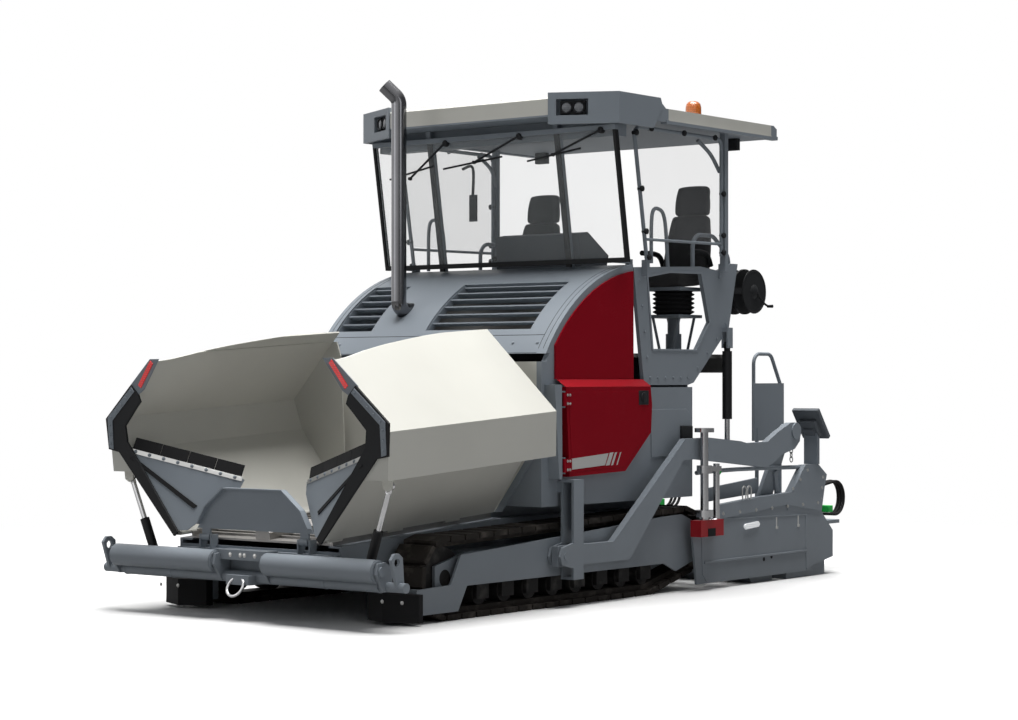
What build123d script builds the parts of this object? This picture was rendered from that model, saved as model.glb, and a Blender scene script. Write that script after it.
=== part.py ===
"""Tracked asphalt paver: hopper with folding wings, canopy platform, towed extending screed.

Millimetres. +X points to the hopper, +Y to the machine's left, +Z up. The origin is on the ground,
below the middle of the whole machine. Left-hand pieces are drawn and mirrored for the right.
"""
import os
from math import acos, atan2, cos, degrees, hypot, pi, radians, sin

from build123d import *

# ---------------------------------------------------------------- driving dimensions
RUN_GAP = 0.5            # clearance of a wheel, pin or shaft in what carries it
PANEL_GAP = 8            # clearance round a door or lid
PLATE = 12               # heavy plate
SHEET = 6                # light sheet metal

# chassis
CHASSIS_HALF = 790
CHASSIS_FRONT_X, CHASSIS_REAR_X = 3180, -780
CHASSIS_FLOOR_Z = 300
BODY_FRONT_X, BODY_REAR_X = 1390, -620
BODY_HALF = 1150
BODY_WALL = 45
BODY_FLOOR_Z = 745
TUNNEL_TOP_Z = 1010

# crawler tracks
SHOE_WIDTH = 300
TRACK_GAP = 70           # between the chassis and a track
TRACK_Y = CHASSIS_HALF + TRACK_GAP + SHOE_WIDTH / 2
SHOE_THICK = 32
CHAIN_THICK = 45
CHAIN_WIDTH = 170
SHOE_COUNT = 46
SHOE_GAP = 13
IDLER_X, IDLER_RADIUS = 2470, 218
SPROCKET_X, SPROCKET_Z, SPROCKET_RADIUS = -500, 395, 195
ROLLER_RADIUS = 88
ROLLER_FIRST_X, ROLLER_PITCH, ROLLER_COUNT = 0, 292, 8
ROLLER_WIDTH = 150
FRAME_HALF_WIDTH = 110
TRACK_PLATE_Y = TRACK_Y + 156     # inner face of the outer track plate
TRACK_PLATE = 18
FRAME_FLOOR_Z = 225

# push beam
PUSH_ROLLER_X, PUSH_ROLLER_Z, PUSH_ROLLER_RADIUS = 3352, 405, 80
PUSH_ROLLER_Y = (252, 1268)
PUSH_PIN_RADIUS = 25
PUSH_TUBE_X, PUSH_TUBE_Z, PUSH_TUBE_RADIUS, PUSH_ROD_RADIUS = 3280, 300, 42, 34
PUSH_LUG_Y = 1400
BRACKET_PLATE = 24
APRON_X, APRON_Z, APRON_PIN = 3215, 560, 14
APRON_HINGES = (-520, 440)

# hopper
HINGE_X, HINGE_Z = 3320, 575      # front end of the wings' hinge line
HINGE_Y = 712
HINGE_RADIUS, HINGE_PIN = 16, 8
FLOOR_DROP = 45                   # chassis top below the hinge line
HOPPER_TILT = 3.6                 # the hopper's floor rises to the rear
WING_LENGTH = 1890
WING_PLATE = 12
KNUCKLE_LENGTH = 160
KNUCKLES = [-60 - i * (WING_LENGTH - 610) / 2 for i in range(3)]     # front ends, behind the hinge line's end
FLAP_FOLD = 31                    # the front flaps lean back by this angle

# engine hood
HOOD_X, HOOD_Z, HOOD_RADIUS = 34, 1040, 1550
HOOD_SKIN = 36
HOOD_REAR_X = 210
HOOD_FOOT_Z = 1880

# operator's platform
DECK_Z = 1890
DECK_REAR_X = -1180
PANEL_THICK = 32

# canopy
GLASS_TOP = (560, 3560)
GLASS_FOOT = (405, 2600)
CAB_HALF = 1230
CAB_REAR_X = -1030
POST = 44
INNER_POST_Y = 645
ROOF_HALF = 1290
ROOF_INNER_Z = 3700
ROOF_EDGE = [(842, 3700), (842, 3835), (815, 3860), (60, 3872), (-40, 3806), (-1640, 3806), (-1690, 3780),
             (-1690, 3700)]
ROOF_CORNER = ((854, 805), (606, ROOF_HALF + 8))     # face of each front corner, as (x, y)
CORNER_FLOOR_Z, CORNER_TOP_Z = 3640, 3882
CORNER_LAMP = 0.34       # the lamp's place along that face
LAMP_Z, LAMP_POCKET = 3768, 70

# tow points and screed
TOW_X, TOW_Z, ARM_Y = 1300, 385, 1250
ARM_THICK = 56
SCREED_HALF = 1250
SCREED_FRONT_X, SCREED_REAR_X = -1340, -1720
SCREED_HEIGHT = 470
EXT_FRONT_X, EXT_REAR_X = -1890, -2520
EXT_TOP_Z = 420
EXT_TUBE_RADIUS = 45
AUGER_X, AUGER_Z = -1030, 420
AUGER_RADIUS, AUGER_SHAFT = 180, 45
AUGER_PITCH = 320
AUGER_BLADES = 8
EXT_TUBE_X, EXT_TUBES_Z = -1790, (270, 400)
GATE_THICK = 20
HOSE_COUNT, HOSE_RADIUS, HOSE_REACH_X = 3, 13, -3497
HOSE_BENDS = [90, 60, 90]

# cylinders: (top pin x, z), (lower pin x, z)
LIFT_TOP = (-1097, 1960)
LIFT_FOOT = (-1097, 1060)
LIFT_Y = 1176
LIFT_BARREL_RADIUS, LIFT_BARREL_LENGTH, LIFT_ROD_RADIUS = 40, 600, 22
WING_CYL_X = -125        # in the hopper's tilted frame, as are the next two (y, z)
WING_CYL_FOOT = (1020, -235)
WING_CYL_EYE = (1262, 392)
WING_BARREL_RADIUS, WING_BARREL_LENGTH, WING_ROD_RADIUS = 34, 340, 19
ROD_OVERLAP = 25         # length of an extended rod that stays in its barrel
EYE_WIDTH = 28


# ---------------------------------------------------------------- shape helpers
def block(x0, x1, y0, y1, z0, z1):
    return Pos((x0 + x1) / 2, (y0 + y1) / 2, (z0 + z1) / 2) * Box(abs(x1 - x0), abs(y1 - y0), abs(z1 - z0))


def xz_prism(face, y0, y1):
    """Prism of a face drawn in XZ."""
    return extrude(Plane.XZ.offset(-y1) * face, y1 - y0, dir=(0, -1, 0))


def side_plate(points, y0, y1):
    """Prism with its outline in the XZ plane."""
    return xz_prism(Polygon(*points, align=None), y0, y1)


def cross_plate(points, x0, x1):
    """Prism with its outline in the YZ plane."""
    return extrude(Plane.YZ.offset(x0) * Polygon(*points, align=None), x1 - x0, dir=(1, 0, 0))


def flat_plate(points, z0, z1):
    """Prism with its outline in the XY plane."""
    return extrude(Pos(0, 0, z0) * Polygon(*points, align=None), z1 - z0, dir=(0, 0, 1))


def rod(start, end, radius):
    """Round bar between two points."""
    start, end = Vector(*start), Vector(*end)
    path = end - start
    return Plane(start, z_dir=path) * Cylinder(radius, path.length, align=(Align.CENTER, Align.CENTER, Align.MIN))


def disc_y(x, z, y0, y1, radius):
    return rod((x, y0, z), (x, y1, z), radius)


def pipe(points, radius, bends):
    """Round tube along straight runs joined by arcs."""
    path = FilletPolyline(*points, radius=bends)
    return sweep(Plane(path @ 0, z_dir=path % 0) * Circle(radius), path=path)


def band(points, thick):
    """Outline of a bent sheet: the given line and the same line offset to its left by thick."""
    offsets = []
    for i, (u, v) in enumerate(points):
        before = points[max(i - 1, 0)] if i else None
        after = points[i + 1] if i + 1 < len(points) else None
        normals = []
        for a, b in ((before, (u, v)), ((u, v), after)):
            if a and b:
                length = hypot(b[0] - a[0], b[1] - a[1])
                normals.append((-(b[1] - a[1]) / length, (b[0] - a[0]) / length))
        nu, nv = sum(n[0] for n in normals), sum(n[1] for n in normals)
        scale = thick / hypot(nu, nv)
        if len(normals) == 2:
            scale = thick * 2 / (nu * nu + nv * nv)
        offsets.append((u + nu * scale, v + nv * scale))
    return list(points) + offsets[::-1]


def mirrored(part):
    return mirror(part, about=Plane.XZ)


NODES = {}


def add(name, *solids):
    NODES[name] = Compound(children=[s for part in solids for s in part.solids()])


def add_pair(name, *solids):
    add(name + "_left", *solids)
    add(name + "_right", *[mirrored(part) for part in solids])


# ---------------------------------------------------------------- crawler tracks
def belt_segments(circles):
    """Lines and arcs round circles (x, z, radius), taken clockwise seen from the left."""
    tangents = []
    for (x0, z0, r0), (x1, z1, r1) in zip(circles, circles[1:] + circles[:1]):
        span = hypot(x1 - x0, z1 - z0)
        heading = atan2(z1 - z0, x1 - x0)
        normal = heading + acos((r0 - r1) / span)
        out = (cos(normal), sin(normal))
        tangents.append(((x0 + r0 * out[0], z0 + r0 * out[1]), (x1 + r1 * out[0], z1 + r1 * out[1]), normal))
    segments = []
    for i, (start, end, normal) in enumerate(tangents):
        segments.append(("line", start, end, hypot(end[0] - start[0], end[1] - start[1])))
        x, z, r = circles[(i + 1) % len(circles)]
        turn = (normal - tangents[(i + 1) % len(tangents)][2]) % (2 * pi)
        segments.append(("arc", (x, z, r, normal), turn, r * turn))
    return segments


def belt_place(segments, distance):
    """Point and outward direction at a distance along the belt."""
    for kind, a, b, length in segments:
        if distance <= length:
            if kind == "line":
                t = distance / length
                heading = atan2(b[1] - a[1], b[0] - a[0])
                return a[0] + (b[0] - a[0]) * t, a[1] + (b[1] - a[1]) * t, heading + pi / 2
            x, z, r, start = a
            angle = start - distance / r
            return x + r * cos(angle), z + r * sin(angle), angle
        distance -= length
    return belt_place(segments, 0)


def belt_face(circles, grow):
    """Filled face round the circles, each larger by grow."""
    edges = []
    for kind, a, b, length in belt_segments([(x, z, r + grow) for x, z, r in circles]):
        if kind == "line":
            edges.append(Line((a[0], a[1]), (b[0], b[1])))
        else:
            x, z, r, start = a
            points = [(x + r * cos(start - b * k), z + r * sin(start - b * k)) for k in (0, 0.5, 1)]
            edges.append(ThreePointArc(*points))
    return make_face(edges)


def track_circles():
    ground = SHOE_THICK + CHAIN_THICK
    return [
        (SPROCKET_X, SPROCKET_Z, SPROCKET_RADIUS),
        (IDLER_X, ground + IDLER_RADIUS, IDLER_RADIUS),
        (ROLLER_FIRST_X, ground + ROLLER_RADIUS, ROLLER_RADIUS),
    ]


def make_track():
    circles = track_circles()
    chain = belt_face(circles, CHAIN_THICK) - belt_face(circles, RUN_GAP)
    track = xz_prism(chain, TRACK_Y - CHAIN_WIDTH / 2, TRACK_Y + CHAIN_WIDTH / 2)
    segments = belt_segments([(x, z, r + CHAIN_THICK) for x, z, r in circles])
    total = sum(segment[3] for segment in segments)
    half = (total / SHOE_COUNT - SHOE_GAP) / 2
    root, tip = half, half - 10
    shoes = []
    for i in range(SHOE_COUNT):
        x, z, out = belt_place(segments, (i + 0.5) * total / SHOE_COUNT)
        outline = [(-root, -8), (root, -8), (root, SHOE_THICK * 0.6), (tip, SHOE_THICK),
                   (-tip, SHOE_THICK), (-root, SHOE_THICK * 0.6)]
        places = [(x + u * sin(out) + v * cos(out), z - u * cos(out) + v * sin(out)) for u, v in outline]
        shoe = side_plate(places, TRACK_Y - SHOE_WIDTH / 2, TRACK_Y + SHOE_WIDTH / 2)
        if min(place[1] for place in places) < -0.01:
            shoe -= block(x - 200, x + 200, TRACK_Y - SHOE_WIDTH, TRACK_Y + SHOE_WIDTH, -100, 0)
        shoes.append(shoe)
    return track + shoes


def roller_places():
    return [ROLLER_FIRST_X + i * ROLLER_PITCH for i in range(ROLLER_COUNT)]


def make_track_wheels():
    ground = SHOE_THICK + CHAIN_THICK
    half = ROLLER_WIDTH / 2
    wheels = []
    for x, z, radius in track_circles()[:2]:
        wheels.append(disc_y(x, z, TRACK_Y - half, TRACK_Y + half, radius)
                      + disc_y(x, z, TRACK_Y - FRAME_HALF_WIDTH, TRACK_Y + FRAME_HALF_WIDTH, 60))
    for x in roller_places():
        z = ground + ROLLER_RADIUS
        roller = disc_y(x, z, TRACK_Y - half, TRACK_Y + half, ROLLER_RADIUS)
        for side in (-1, 1):
            near, far = sorted((TRACK_Y + side * half, TRACK_Y + side * FRAME_HALF_WIDTH))
            roller += block(x - 70, x + 70, near, far, z - 45, FRAME_FLOOR_Z)
        wheels.append(roller)
    return wheels


TRACK_PLATE_LINE = [
    (2840, 62), (2840, 240), (2480, 250), (2370, 455), (500, 562), (-140, 602), (-420, 610), (-560, 560),
    (-570, 230), (-330, 165), (-160, 235), (2300, 235), (2400, 62),
]


def make_track_frame():
    ground = SHOE_THICK + CHAIN_THICK
    y0, y1 = TRACK_Y - FRAME_HALF_WIDTH, TRACK_Y + FRAME_HALF_WIDTH
    front, rear = IDLER_X - IDLER_RADIUS - 30, SPROCKET_X + SPROCKET_RADIUS + 30
    top = ground + IDLER_RADIUS * 2 - 45
    core_floor = ground + 2 * ROLLER_RADIUS + 12
    frame = block(rear, front, y0, y1, core_floor, top)
    for near, far in ((y0, y0 + 25), (y1 - 25, y1)):
        frame += block(rear, front, near, far, FRAME_FLOOR_Z, top)
    idler_z = ground + IDLER_RADIUS
    for near, far in ((y0, y0 + 25), (y1 - 25, y1)):
        fork = side_plate([(front - 5, top), (IDLER_X + 110, idler_z + 90), (IDLER_X + 110, idler_z - 60),
                           (front - 5, FRAME_FLOOR_Z)], near, far)
        drive = side_plate([(rear + 5, top), (SPROCKET_X - 90, SPROCKET_Z + 90), (SPROCKET_X - 90, SPROCKET_Z - 90),
                            (rear + 5, FRAME_FLOOR_Z)], near, far)
        frame += [fork, drive]
    for x, z, radius in track_circles()[:2]:
        frame -= disc_y(x, z, y0 - 1, y1 + 1, 60 + RUN_GAP)
    frame += side_plate(TRACK_PLATE_LINE, TRACK_PLATE_Y, TRACK_PLATE_Y + TRACK_PLATE)
    frame += block(rear + 120, front - 160, y1 - 1, TRACK_PLATE_Y + 1, 270, 430)
    for x in (300, 1500):
        frame += block(x - 160, x + 160, CHASSIS_HALF, y0 + 1, 290, 440)
    nose = block(2790, 2850, CHASSIS_HALF, TRACK_PLATE_Y + TRACK_PLATE, 62, 240)
    return frame + nose


def make_wear_block():
    return flat_plate([(2850, CHASSIS_HALF), (2915, CHASSIS_HALF), (3000, 1000), (2890, 1240), (2850, 1240)], 20, 215)


# ---------------------------------------------------------------- chassis and push beam
def hinge_height(x):
    return HINGE_Z + (HINGE_X - x) * sin(radians(HOPPER_TILT)) / cos(radians(HOPPER_TILT))


def make_chassis():
    front_z, deck_z = hinge_height(CHASSIS_FRONT_X) - FLOOR_DROP, hinge_height(BODY_FRONT_X) - FLOOR_DROP
    top = [(CHASSIS_FRONT_X, front_z), (BODY_FRONT_X, deck_z), (CHASSIS_REAR_X, deck_z)]
    line = [(CHASSIS_FRONT_X, CHASSIS_FLOOR_Z)] + top + [(CHASSIS_REAR_X, CHASSIS_FLOOR_Z)]
    frame = Part()
    for side in (-1, 1):
        near, far = sorted((side * (CHASSIS_HALF - 25), side * CHASSIS_HALF))
        frame += side_plate(line, near, far) + block(CHASSIS_FRONT_X - 1, CHASSIS_FRONT_X + 52, near, far, 310, 430)
    frame += block(CHASSIS_REAR_X, CHASSIS_FRONT_X, -CHASSIS_HALF, CHASSIS_HALF,
                   CHASSIS_FLOOR_Z, CHASSIS_FLOOR_Z + PLATE)
    for x in (CHASSIS_FRONT_X - 25, 2100, 1000, -100, CHASSIS_REAR_X):
        frame += block(x, x + 25, -CHASSIS_HALF, CHASSIS_HALF, CHASSIS_FLOOR_Z, 500)
    ledge = [top[0], top[1], (top[1][0], top[1][1] - PLATE), (top[0][0], top[0][1] - PLATE)]
    frame += side_plate(ledge, -CHASSIS_HALF + 24, -670) + side_plate(ledge, 670, CHASSIS_HALF - 24)
    frame += block(CHASSIS_REAR_X, BODY_FRONT_X, -CHASSIS_HALF, CHASSIS_HALF, deck_z - PLATE, deck_z)
    return frame


def make_body_shell():
    """Bulkheads and floor between the side walls, round the conveyor tunnel."""
    half = BODY_HALF - BODY_WALL
    deck_z = hinge_height(BODY_FRONT_X) - FLOOR_DROP
    shell = Part()
    for x in (BODY_FRONT_X - PLATE, BODY_REAR_X):
        wall = block(x, x + PLATE, -half, half, BODY_FLOOR_Z, HOOD_FOOT_Z - 60 if x > 0 else DECK_Z - 30)
        shell += wall
    shell += block(BODY_REAR_X, BODY_FRONT_X, -half, half, BODY_FLOOR_Z, BODY_FLOOR_Z + PLATE)
    tunnel = block(BODY_REAR_X - 5, BODY_FRONT_X + 5, -640, 640, deck_z - 1, TUNNEL_TOP_Z)
    skirt = Part()
    for side in (-1, 1):
        near, far = sorted((side * 640, side * (640 + PLATE)))
        skirt += block(BODY_REAR_X, BODY_FRONT_X, near, far, deck_z, TUNNEL_TOP_Z + PLATE)
    skirt += block(BODY_REAR_X, BODY_FRONT_X, -640, 640, TUNNEL_TOP_Z, TUNNEL_TOP_Z + PLATE)
    return shell - tunnel + skirt


def make_push_beam():
    half, face = CHASSIS_HALF - 25, CHASSIS_FRONT_X + 50
    y0, y1 = PUSH_ROLLER_Y
    beam = block(CHASSIS_FRONT_X, face, -half, half, 310, 480)
    beam += disc_y(PUSH_TUBE_X, PUSH_TUBE_Z, 30 - y1, y1 - 30, PUSH_TUBE_RADIUS)
    beam += disc_y(PUSH_TUBE_X, PUSH_TUBE_Z, -PUSH_LUG_Y - 60, PUSH_LUG_Y + 60, PUSH_ROD_RADIUS)
    for y in (-700, 700):
        beam += side_plate([(face - 1, 311), (face - 1, 400), (PUSH_TUBE_X, PUSH_TUBE_Z + 36),
                            (PUSH_TUBE_X, PUSH_TUBE_Z - 36)], y - 15, y + 15)
    beam += block(face - 1, PUSH_ROLLER_X - 10, 16 - y0, y0 - 16, 420, 490)
    for side in (-1, 1):
        for y in (y0 - PANEL_GAP - BRACKET_PLATE, y1 + PANEL_GAP):
            near, far = sorted((side * y, side * (y + BRACKET_PLATE)))
            beam += side_plate([(3240, 290), (3240, 430), (3310, 468), (3385, 460), (3402, 390), (3320, 268),
                                (3262, 264)], near, far)
        for y in (739, y1 - 44):
            near, far = sorted((side * y, side * (y + 14)))
            beam += disc_y(PUSH_TUBE_X, PUSH_TUBE_Z, near, far, PUSH_TUBE_RADIUS + 3)
        for start, end in ((y0 - PANEL_GAP - 1, y0 + 32), (y1 - 32, y1 + PANEL_GAP + 1)):
            near, far = sorted((side * start, side * end))
            beam += disc_y(PUSH_ROLLER_X, PUSH_ROLLER_Z, near, far, PUSH_PIN_RADIUS)
        cap = y1 + PANEL_GAP + BRACKET_PLATE
        near, far = sorted((side * (cap - 1), side * (cap + 16)))
        beam += disc_y(PUSH_ROLLER_X, PUSH_ROLLER_Z, near, far, PUSH_PIN_RADIUS + 10)
        lug_y = side * PUSH_LUG_Y
        lug = side_plate([(3246, 300), (3262, 500), (3300, 530), (3345, 530), (3380, 490), (3314, 290),
                          (3280, 266)], lug_y - 12, lug_y + 12)
        beam += lug - disc_y(3320, 470, lug_y - 20, lug_y + 20, 28)
    beam += block(face - 10, 3394, -110, 110, 252, 318)
    return beam


def make_push_roller():
    y0, y1 = PUSH_ROLLER_Y
    roller = disc_y(PUSH_ROLLER_X, PUSH_ROLLER_Z, y0, y1, PUSH_ROLLER_RADIUS)
    roller -= disc_y(PUSH_ROLLER_X, PUSH_ROLLER_Z, y0 + 22, y1 - 22, PUSH_ROLLER_RADIUS - 14)
    roller -= disc_y(PUSH_ROLLER_X, PUSH_ROLLER_Z, y0 - 1, y1 + 1, PUSH_PIN_RADIUS + RUN_GAP)
    return roller


def make_tow_ring():
    radius, bar = 72, 11
    return Pos(3386, 0, 290) * Rot(0, 62, 0) * Pos(radius - 16, 0, 0) * Torus(radius, bar)


# ---------------------------------------------------------------- hopper
HOPPER = Pos(HINGE_X, 0, HINGE_Z) * Rot(0, HOPPER_TILT, 0)
WING_LUG_X = WING_CYL_X + 16
WING_INNER = [(HINGE_Y + 14, 10), (1165, 600), (1240, 835), (800, 1290)]
WING_OUTER = [(735, 1362), (1346, 760), (1326, 448), (1070, 448)]
WING_RIM = [(30, 1246), (-164, 1252), (-412, 1287), (-916, 1340), (-1474, 1374), (-1920, 1379)]     # as (x, z)
LIP_LINE = [(1095, 1075), (1378, 824), (1360, 600), (1253, 581), (714, -17), (677, 17), (1161, 655), (1176, 774),
            (1055, 901), (1004, 951), (1027, 1007)]
FLAP_X = -6              # the flaps turn about a line from FLAP_TOP along FLAP_RUN, both as (y, z)
FLAP_TOP, FLAP_RUN = (1184, 604), (-0.613, -0.790)
FLAP_LINE = [(0, 0), (722, 640), (770, 560), (800, 100), (734, 0)]


def hopper_plate(points, x0, x1):
    """Prism in the hopper's tilted frame: outline in YZ, length along X behind the hinge's front end."""
    return HOPPER * cross_plate(points, x0, x1)


def make_wing():
    x0, x1 = -WING_LENGTH, -20
    wing = hopper_plate(band(WING_INNER[::-1], WING_PLATE), x0, x1)
    wing += hopper_plate(band(WING_OUTER, WING_PLATE), x0, x1)
    rim = Spline(*WING_RIM)
    corners = [WING_RIM[-1], (WING_RIM[-1][0], 1500), (WING_RIM[0][0], 1500), WING_RIM[0]]
    above = make_face([rim] + [Line(a, b) for a, b in zip(corners, corners[1:])])
    wing -= HOPPER * xz_prism(above, 600, 1400)
    box_end = [(858, 1230), WING_OUTER[1], WING_OUTER[2], WING_OUTER[3], WING_INNER[1], WING_INNER[2]]
    for x in (x0, x1 - WING_PLATE):
        wing += hopper_plate(box_end, x, x + WING_PLATE)
    corner = [WING_INNER[0], WING_INNER[1], WING_INNER[2], WING_INNER[3], (760, 1290), (HINGE_Y + 14, 1180)]
    wing += hopper_plate(corner, x0, x0 + WING_PLATE)
    eye_y, eye_z = WING_CYL_EYE
    wing += hopper_plate([(eye_y - 55, 450), (eye_y + 45, 450), (eye_y + 40, eye_z - 20), (eye_y, eye_z - 42),
                          (eye_y - 40, eye_z - 20)], WING_LUG_X, WING_LUG_X + WING_PLATE)
    bores = Part()
    for x in KNUCKLES:
        rear = x - KNUCKLE_LENGTH
        wing += HOPPER * rod((rear, HINGE_Y, 0), (x, HINGE_Y, 0), HINGE_RADIUS)
        bores += HOPPER * rod((rear - 1, HINGE_Y, 0), (x + 1, HINGE_Y, 0), HINGE_PIN + RUN_GAP)
        wing += hopper_plate([(HINGE_Y, -6), (HINGE_Y + 40, 26), (HINGE_Y + 26, 44), (HINGE_Y - 4, 12)], rear, x)
    return wing - bores


def make_wing_lip():
    """Edging along a wing's front edge with the flap that leans back from it."""
    run_y, run_z = FLAP_RUN
    turn = radians(FLAP_FOLD)
    along = Vector(0, run_y, run_z)
    inward = Vector(-sin(turn), run_z * cos(turn), -run_y * cos(turn))
    plane = Plane((FLAP_X, *FLAP_TOP), x_dir=along, z_dir=along.cross(inward))
    flap = extrude(plane * Polygon(*FLAP_LINE, align=None), 4, both=True)
    return hopper_plate(LIP_LINE, -20, -2) + HOPPER * flap


def make_hopper_floor():
    low = -FLOOR_DROP * cos(radians(HOPPER_TILT)) + 0.3
    floor = hopper_plate([(-690, low), (690, low), (690, -30), (-690, -30)], -WING_LENGTH - 20, -160)
    ridge = hopper_plate([(-70, -31), (70, -31), (70, 20), (0, 60), (-70, 20)], -WING_LENGTH - 20, -180)
    for side in (-1, 1):
        near, far = sorted((side * 690, side * (690 - PLATE)))
        floor += hopper_plate([(near, low), (far, low), (far, 0), (near, 0)], -WING_LENGTH - 20, -160)
        floor += HOPPER * rod((-WING_LENGTH + 290, side * HINGE_Y, 0), (-40, side * HINGE_Y, 0), HINGE_PIN)
        for x in KNUCKLES:
            for start in (x + 2, x - KNUCKLE_LENGTH - 38):
                near, far = sorted((side * 689, side * (HINGE_Y + HINGE_PIN)))
                floor += HOPPER * block(start, start + 36, near, far, -9, 9)
    bars = Part()
    for i in range(14):
        x = -300 - i * 118
        for y in (-378, 378):
            bars += HOPPER * (Pos(x, y, -22) * Box(34, 600, 18))
    return floor + ridge + bars


def make_hopper_wall():
    """Fixed rear wall of the hopper, over the conveyor tunnel."""
    outline = [(-640, TUNNEL_TOP_Z), (640, TUNNEL_TOP_Z), (640, 690), (790, 700), (1100, 1130), (1100, 1480),
               (700, HOOD_FOOT_Z - 20), (-700, HOOD_FOOT_Z - 20), (-1100, 1480), (-1100, 1130), (-790, 700),
               (-640, 690)]
    return cross_plate(outline, BODY_FRONT_X, BODY_FRONT_X + PLATE)


def make_apron():
    line = [(-545, APRON_Z + 95), (-470, APRON_Z + 220), (-290, APRON_Z + 358), (290, APRON_Z + 358),
            (470, APRON_Z + 220), (545, APRON_Z + 95)]
    plate = cross_plate([(570, APRON_Z + 60), (-570, APRON_Z + 60)] + line, APRON_X - 8, APRON_X + 8)
    plate += cross_plate(band(line[::-1], 10), APRON_X - 8, APRON_X + 44)
    for y in APRON_HINGES:
        plate += block(APRON_X - 8, APRON_X + 8, y, y + 80, APRON_Z, APRON_Z + 70)
        plate += disc_y(APRON_X, APRON_Z, y, y + 80, 26)
        plate -= disc_y(APRON_X, APRON_Z, y - 1, y + 81, APRON_PIN + RUN_GAP)
    return plate


def make_apron_hinge():
    hinge = Part()
    for y in APRON_HINGES:
        hinge += disc_y(APRON_X, APRON_Z, y - 20, y + 100, APRON_PIN)
        for near in (y - 20, y + 88):
            hinge += block(CHASSIS_FRONT_X - 20, APRON_X + 18, near, near + 12, 481, APRON_Z + 18)
    return hinge


# ---------------------------------------------------------------- engine housing
def hood_point(radius, z=None, x=None):
    """Point of the hood's arc at a height or at a length along the machine."""
    if x is not None:
        return x, HOOD_Z + (radius ** 2 - (x - HOOD_X) ** 2) ** 0.5
    return HOOD_X + (radius ** 2 - (z - HOOD_Z) ** 2) ** 0.5, z


def arc_region(radius, foot_z, rear_x, base_z):
    """Area in XZ under the hood's arc."""
    foot, crown = hood_point(radius, z=foot_z), hood_point(radius, x=rear_x)
    middle = atan2(foot[1] - HOOD_Z, foot[0] - HOOD_X) / 2 + atan2(crown[1] - HOOD_Z, crown[0] - HOOD_X) / 2
    mid = (HOOD_X + radius * cos(middle), HOOD_Z + radius * sin(middle))
    corners = [crown, (rear_x, base_z), (foot[0], base_z), foot]
    sides = [Line(a, b) for a, b in zip(corners, corners[1:]) if a != b]
    return make_face([ThreePointArc(foot, mid, crown)] + sides)


LOUVRE_ANGLE, LOUVRE_HALF_ANGLE = 52.9, 11.4
LOUVRES = [(-1070, -690), (-130, 900)]       # y from, y to
LOUVRE_BLADES = 6
EXHAUST_X, EXHAUST_Y, EXHAUST_RADIUS = 1105, -480, 60
EXHAUST_FOOT_Z, EXHAUST_TOP_Z = 2235, 3900


def make_hood():
    radius = HOOD_RADIUS
    shell = arc_region(radius, HOOD_FOOT_Z, HOOD_REAR_X, HOOD_FOOT_Z)
    shell -= arc_region(radius - HOOD_SKIN, HOOD_FOOT_Z - 1, HOOD_REAR_X, HOOD_FOOT_Z - 2)
    hood = xz_prism(shell, -BODY_HALF, BODY_HALF)
    axis = Pos(HOOD_X, 0, HOOD_Z)
    opening = 2 * radius * sin(radians(LOUVRE_HALF_ANGLE))
    for y0, y1 in LOUVRES:
        window = Pos(radius - 60, (y0 + y1) / 2, 0) * Box(240, y1 - y0, opening)
        hood -= axis * Rot(0, -LOUVRE_ANGLE, 0) * window
        for i in range(LOUVRE_BLADES + 1):
            angle = LOUVRE_ANGLE + LOUVRE_HALF_ANGLE * (2 * i / LOUVRE_BLADES - 1) * 0.98
            blade = Pos(radius - 44, (y0 + y1) / 2, 0) * Rot(0, 24, 0) * Box(52, y1 - y0 + 10, 12)
            hood += axis * Rot(0, -angle, 0) * blade
        for y in (y0 - 6, y1 - 6):
            rib = arc_region(radius - 14, HOOD_FOOT_Z + 60, HOOD_REAR_X + 60, HOOD_FOOT_Z + 60)
            rib -= arc_region(radius - 66, HOOD_FOOT_Z + 59, HOOD_REAR_X + 60, HOOD_FOOT_Z + 58)
            hood += xz_prism(rib, y, y + 12)
    hood -= rod((EXHAUST_X - 250, EXHAUST_Y, EXHAUST_FOOT_Z), (EXHAUST_X, EXHAUST_Y, EXHAUST_FOOT_Z),
                EXHAUST_RADIUS + RUN_GAP)
    return hood


DOOR_LINE = [(1218, 1632), (1172, 965), (455, 985), (108, 1275), (92, 1480), (112, 1632)]
DOOR_DEPTH = 92
DOOR_FACE_Y = 1248
DOOR_AXIS_X = 1243


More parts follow.
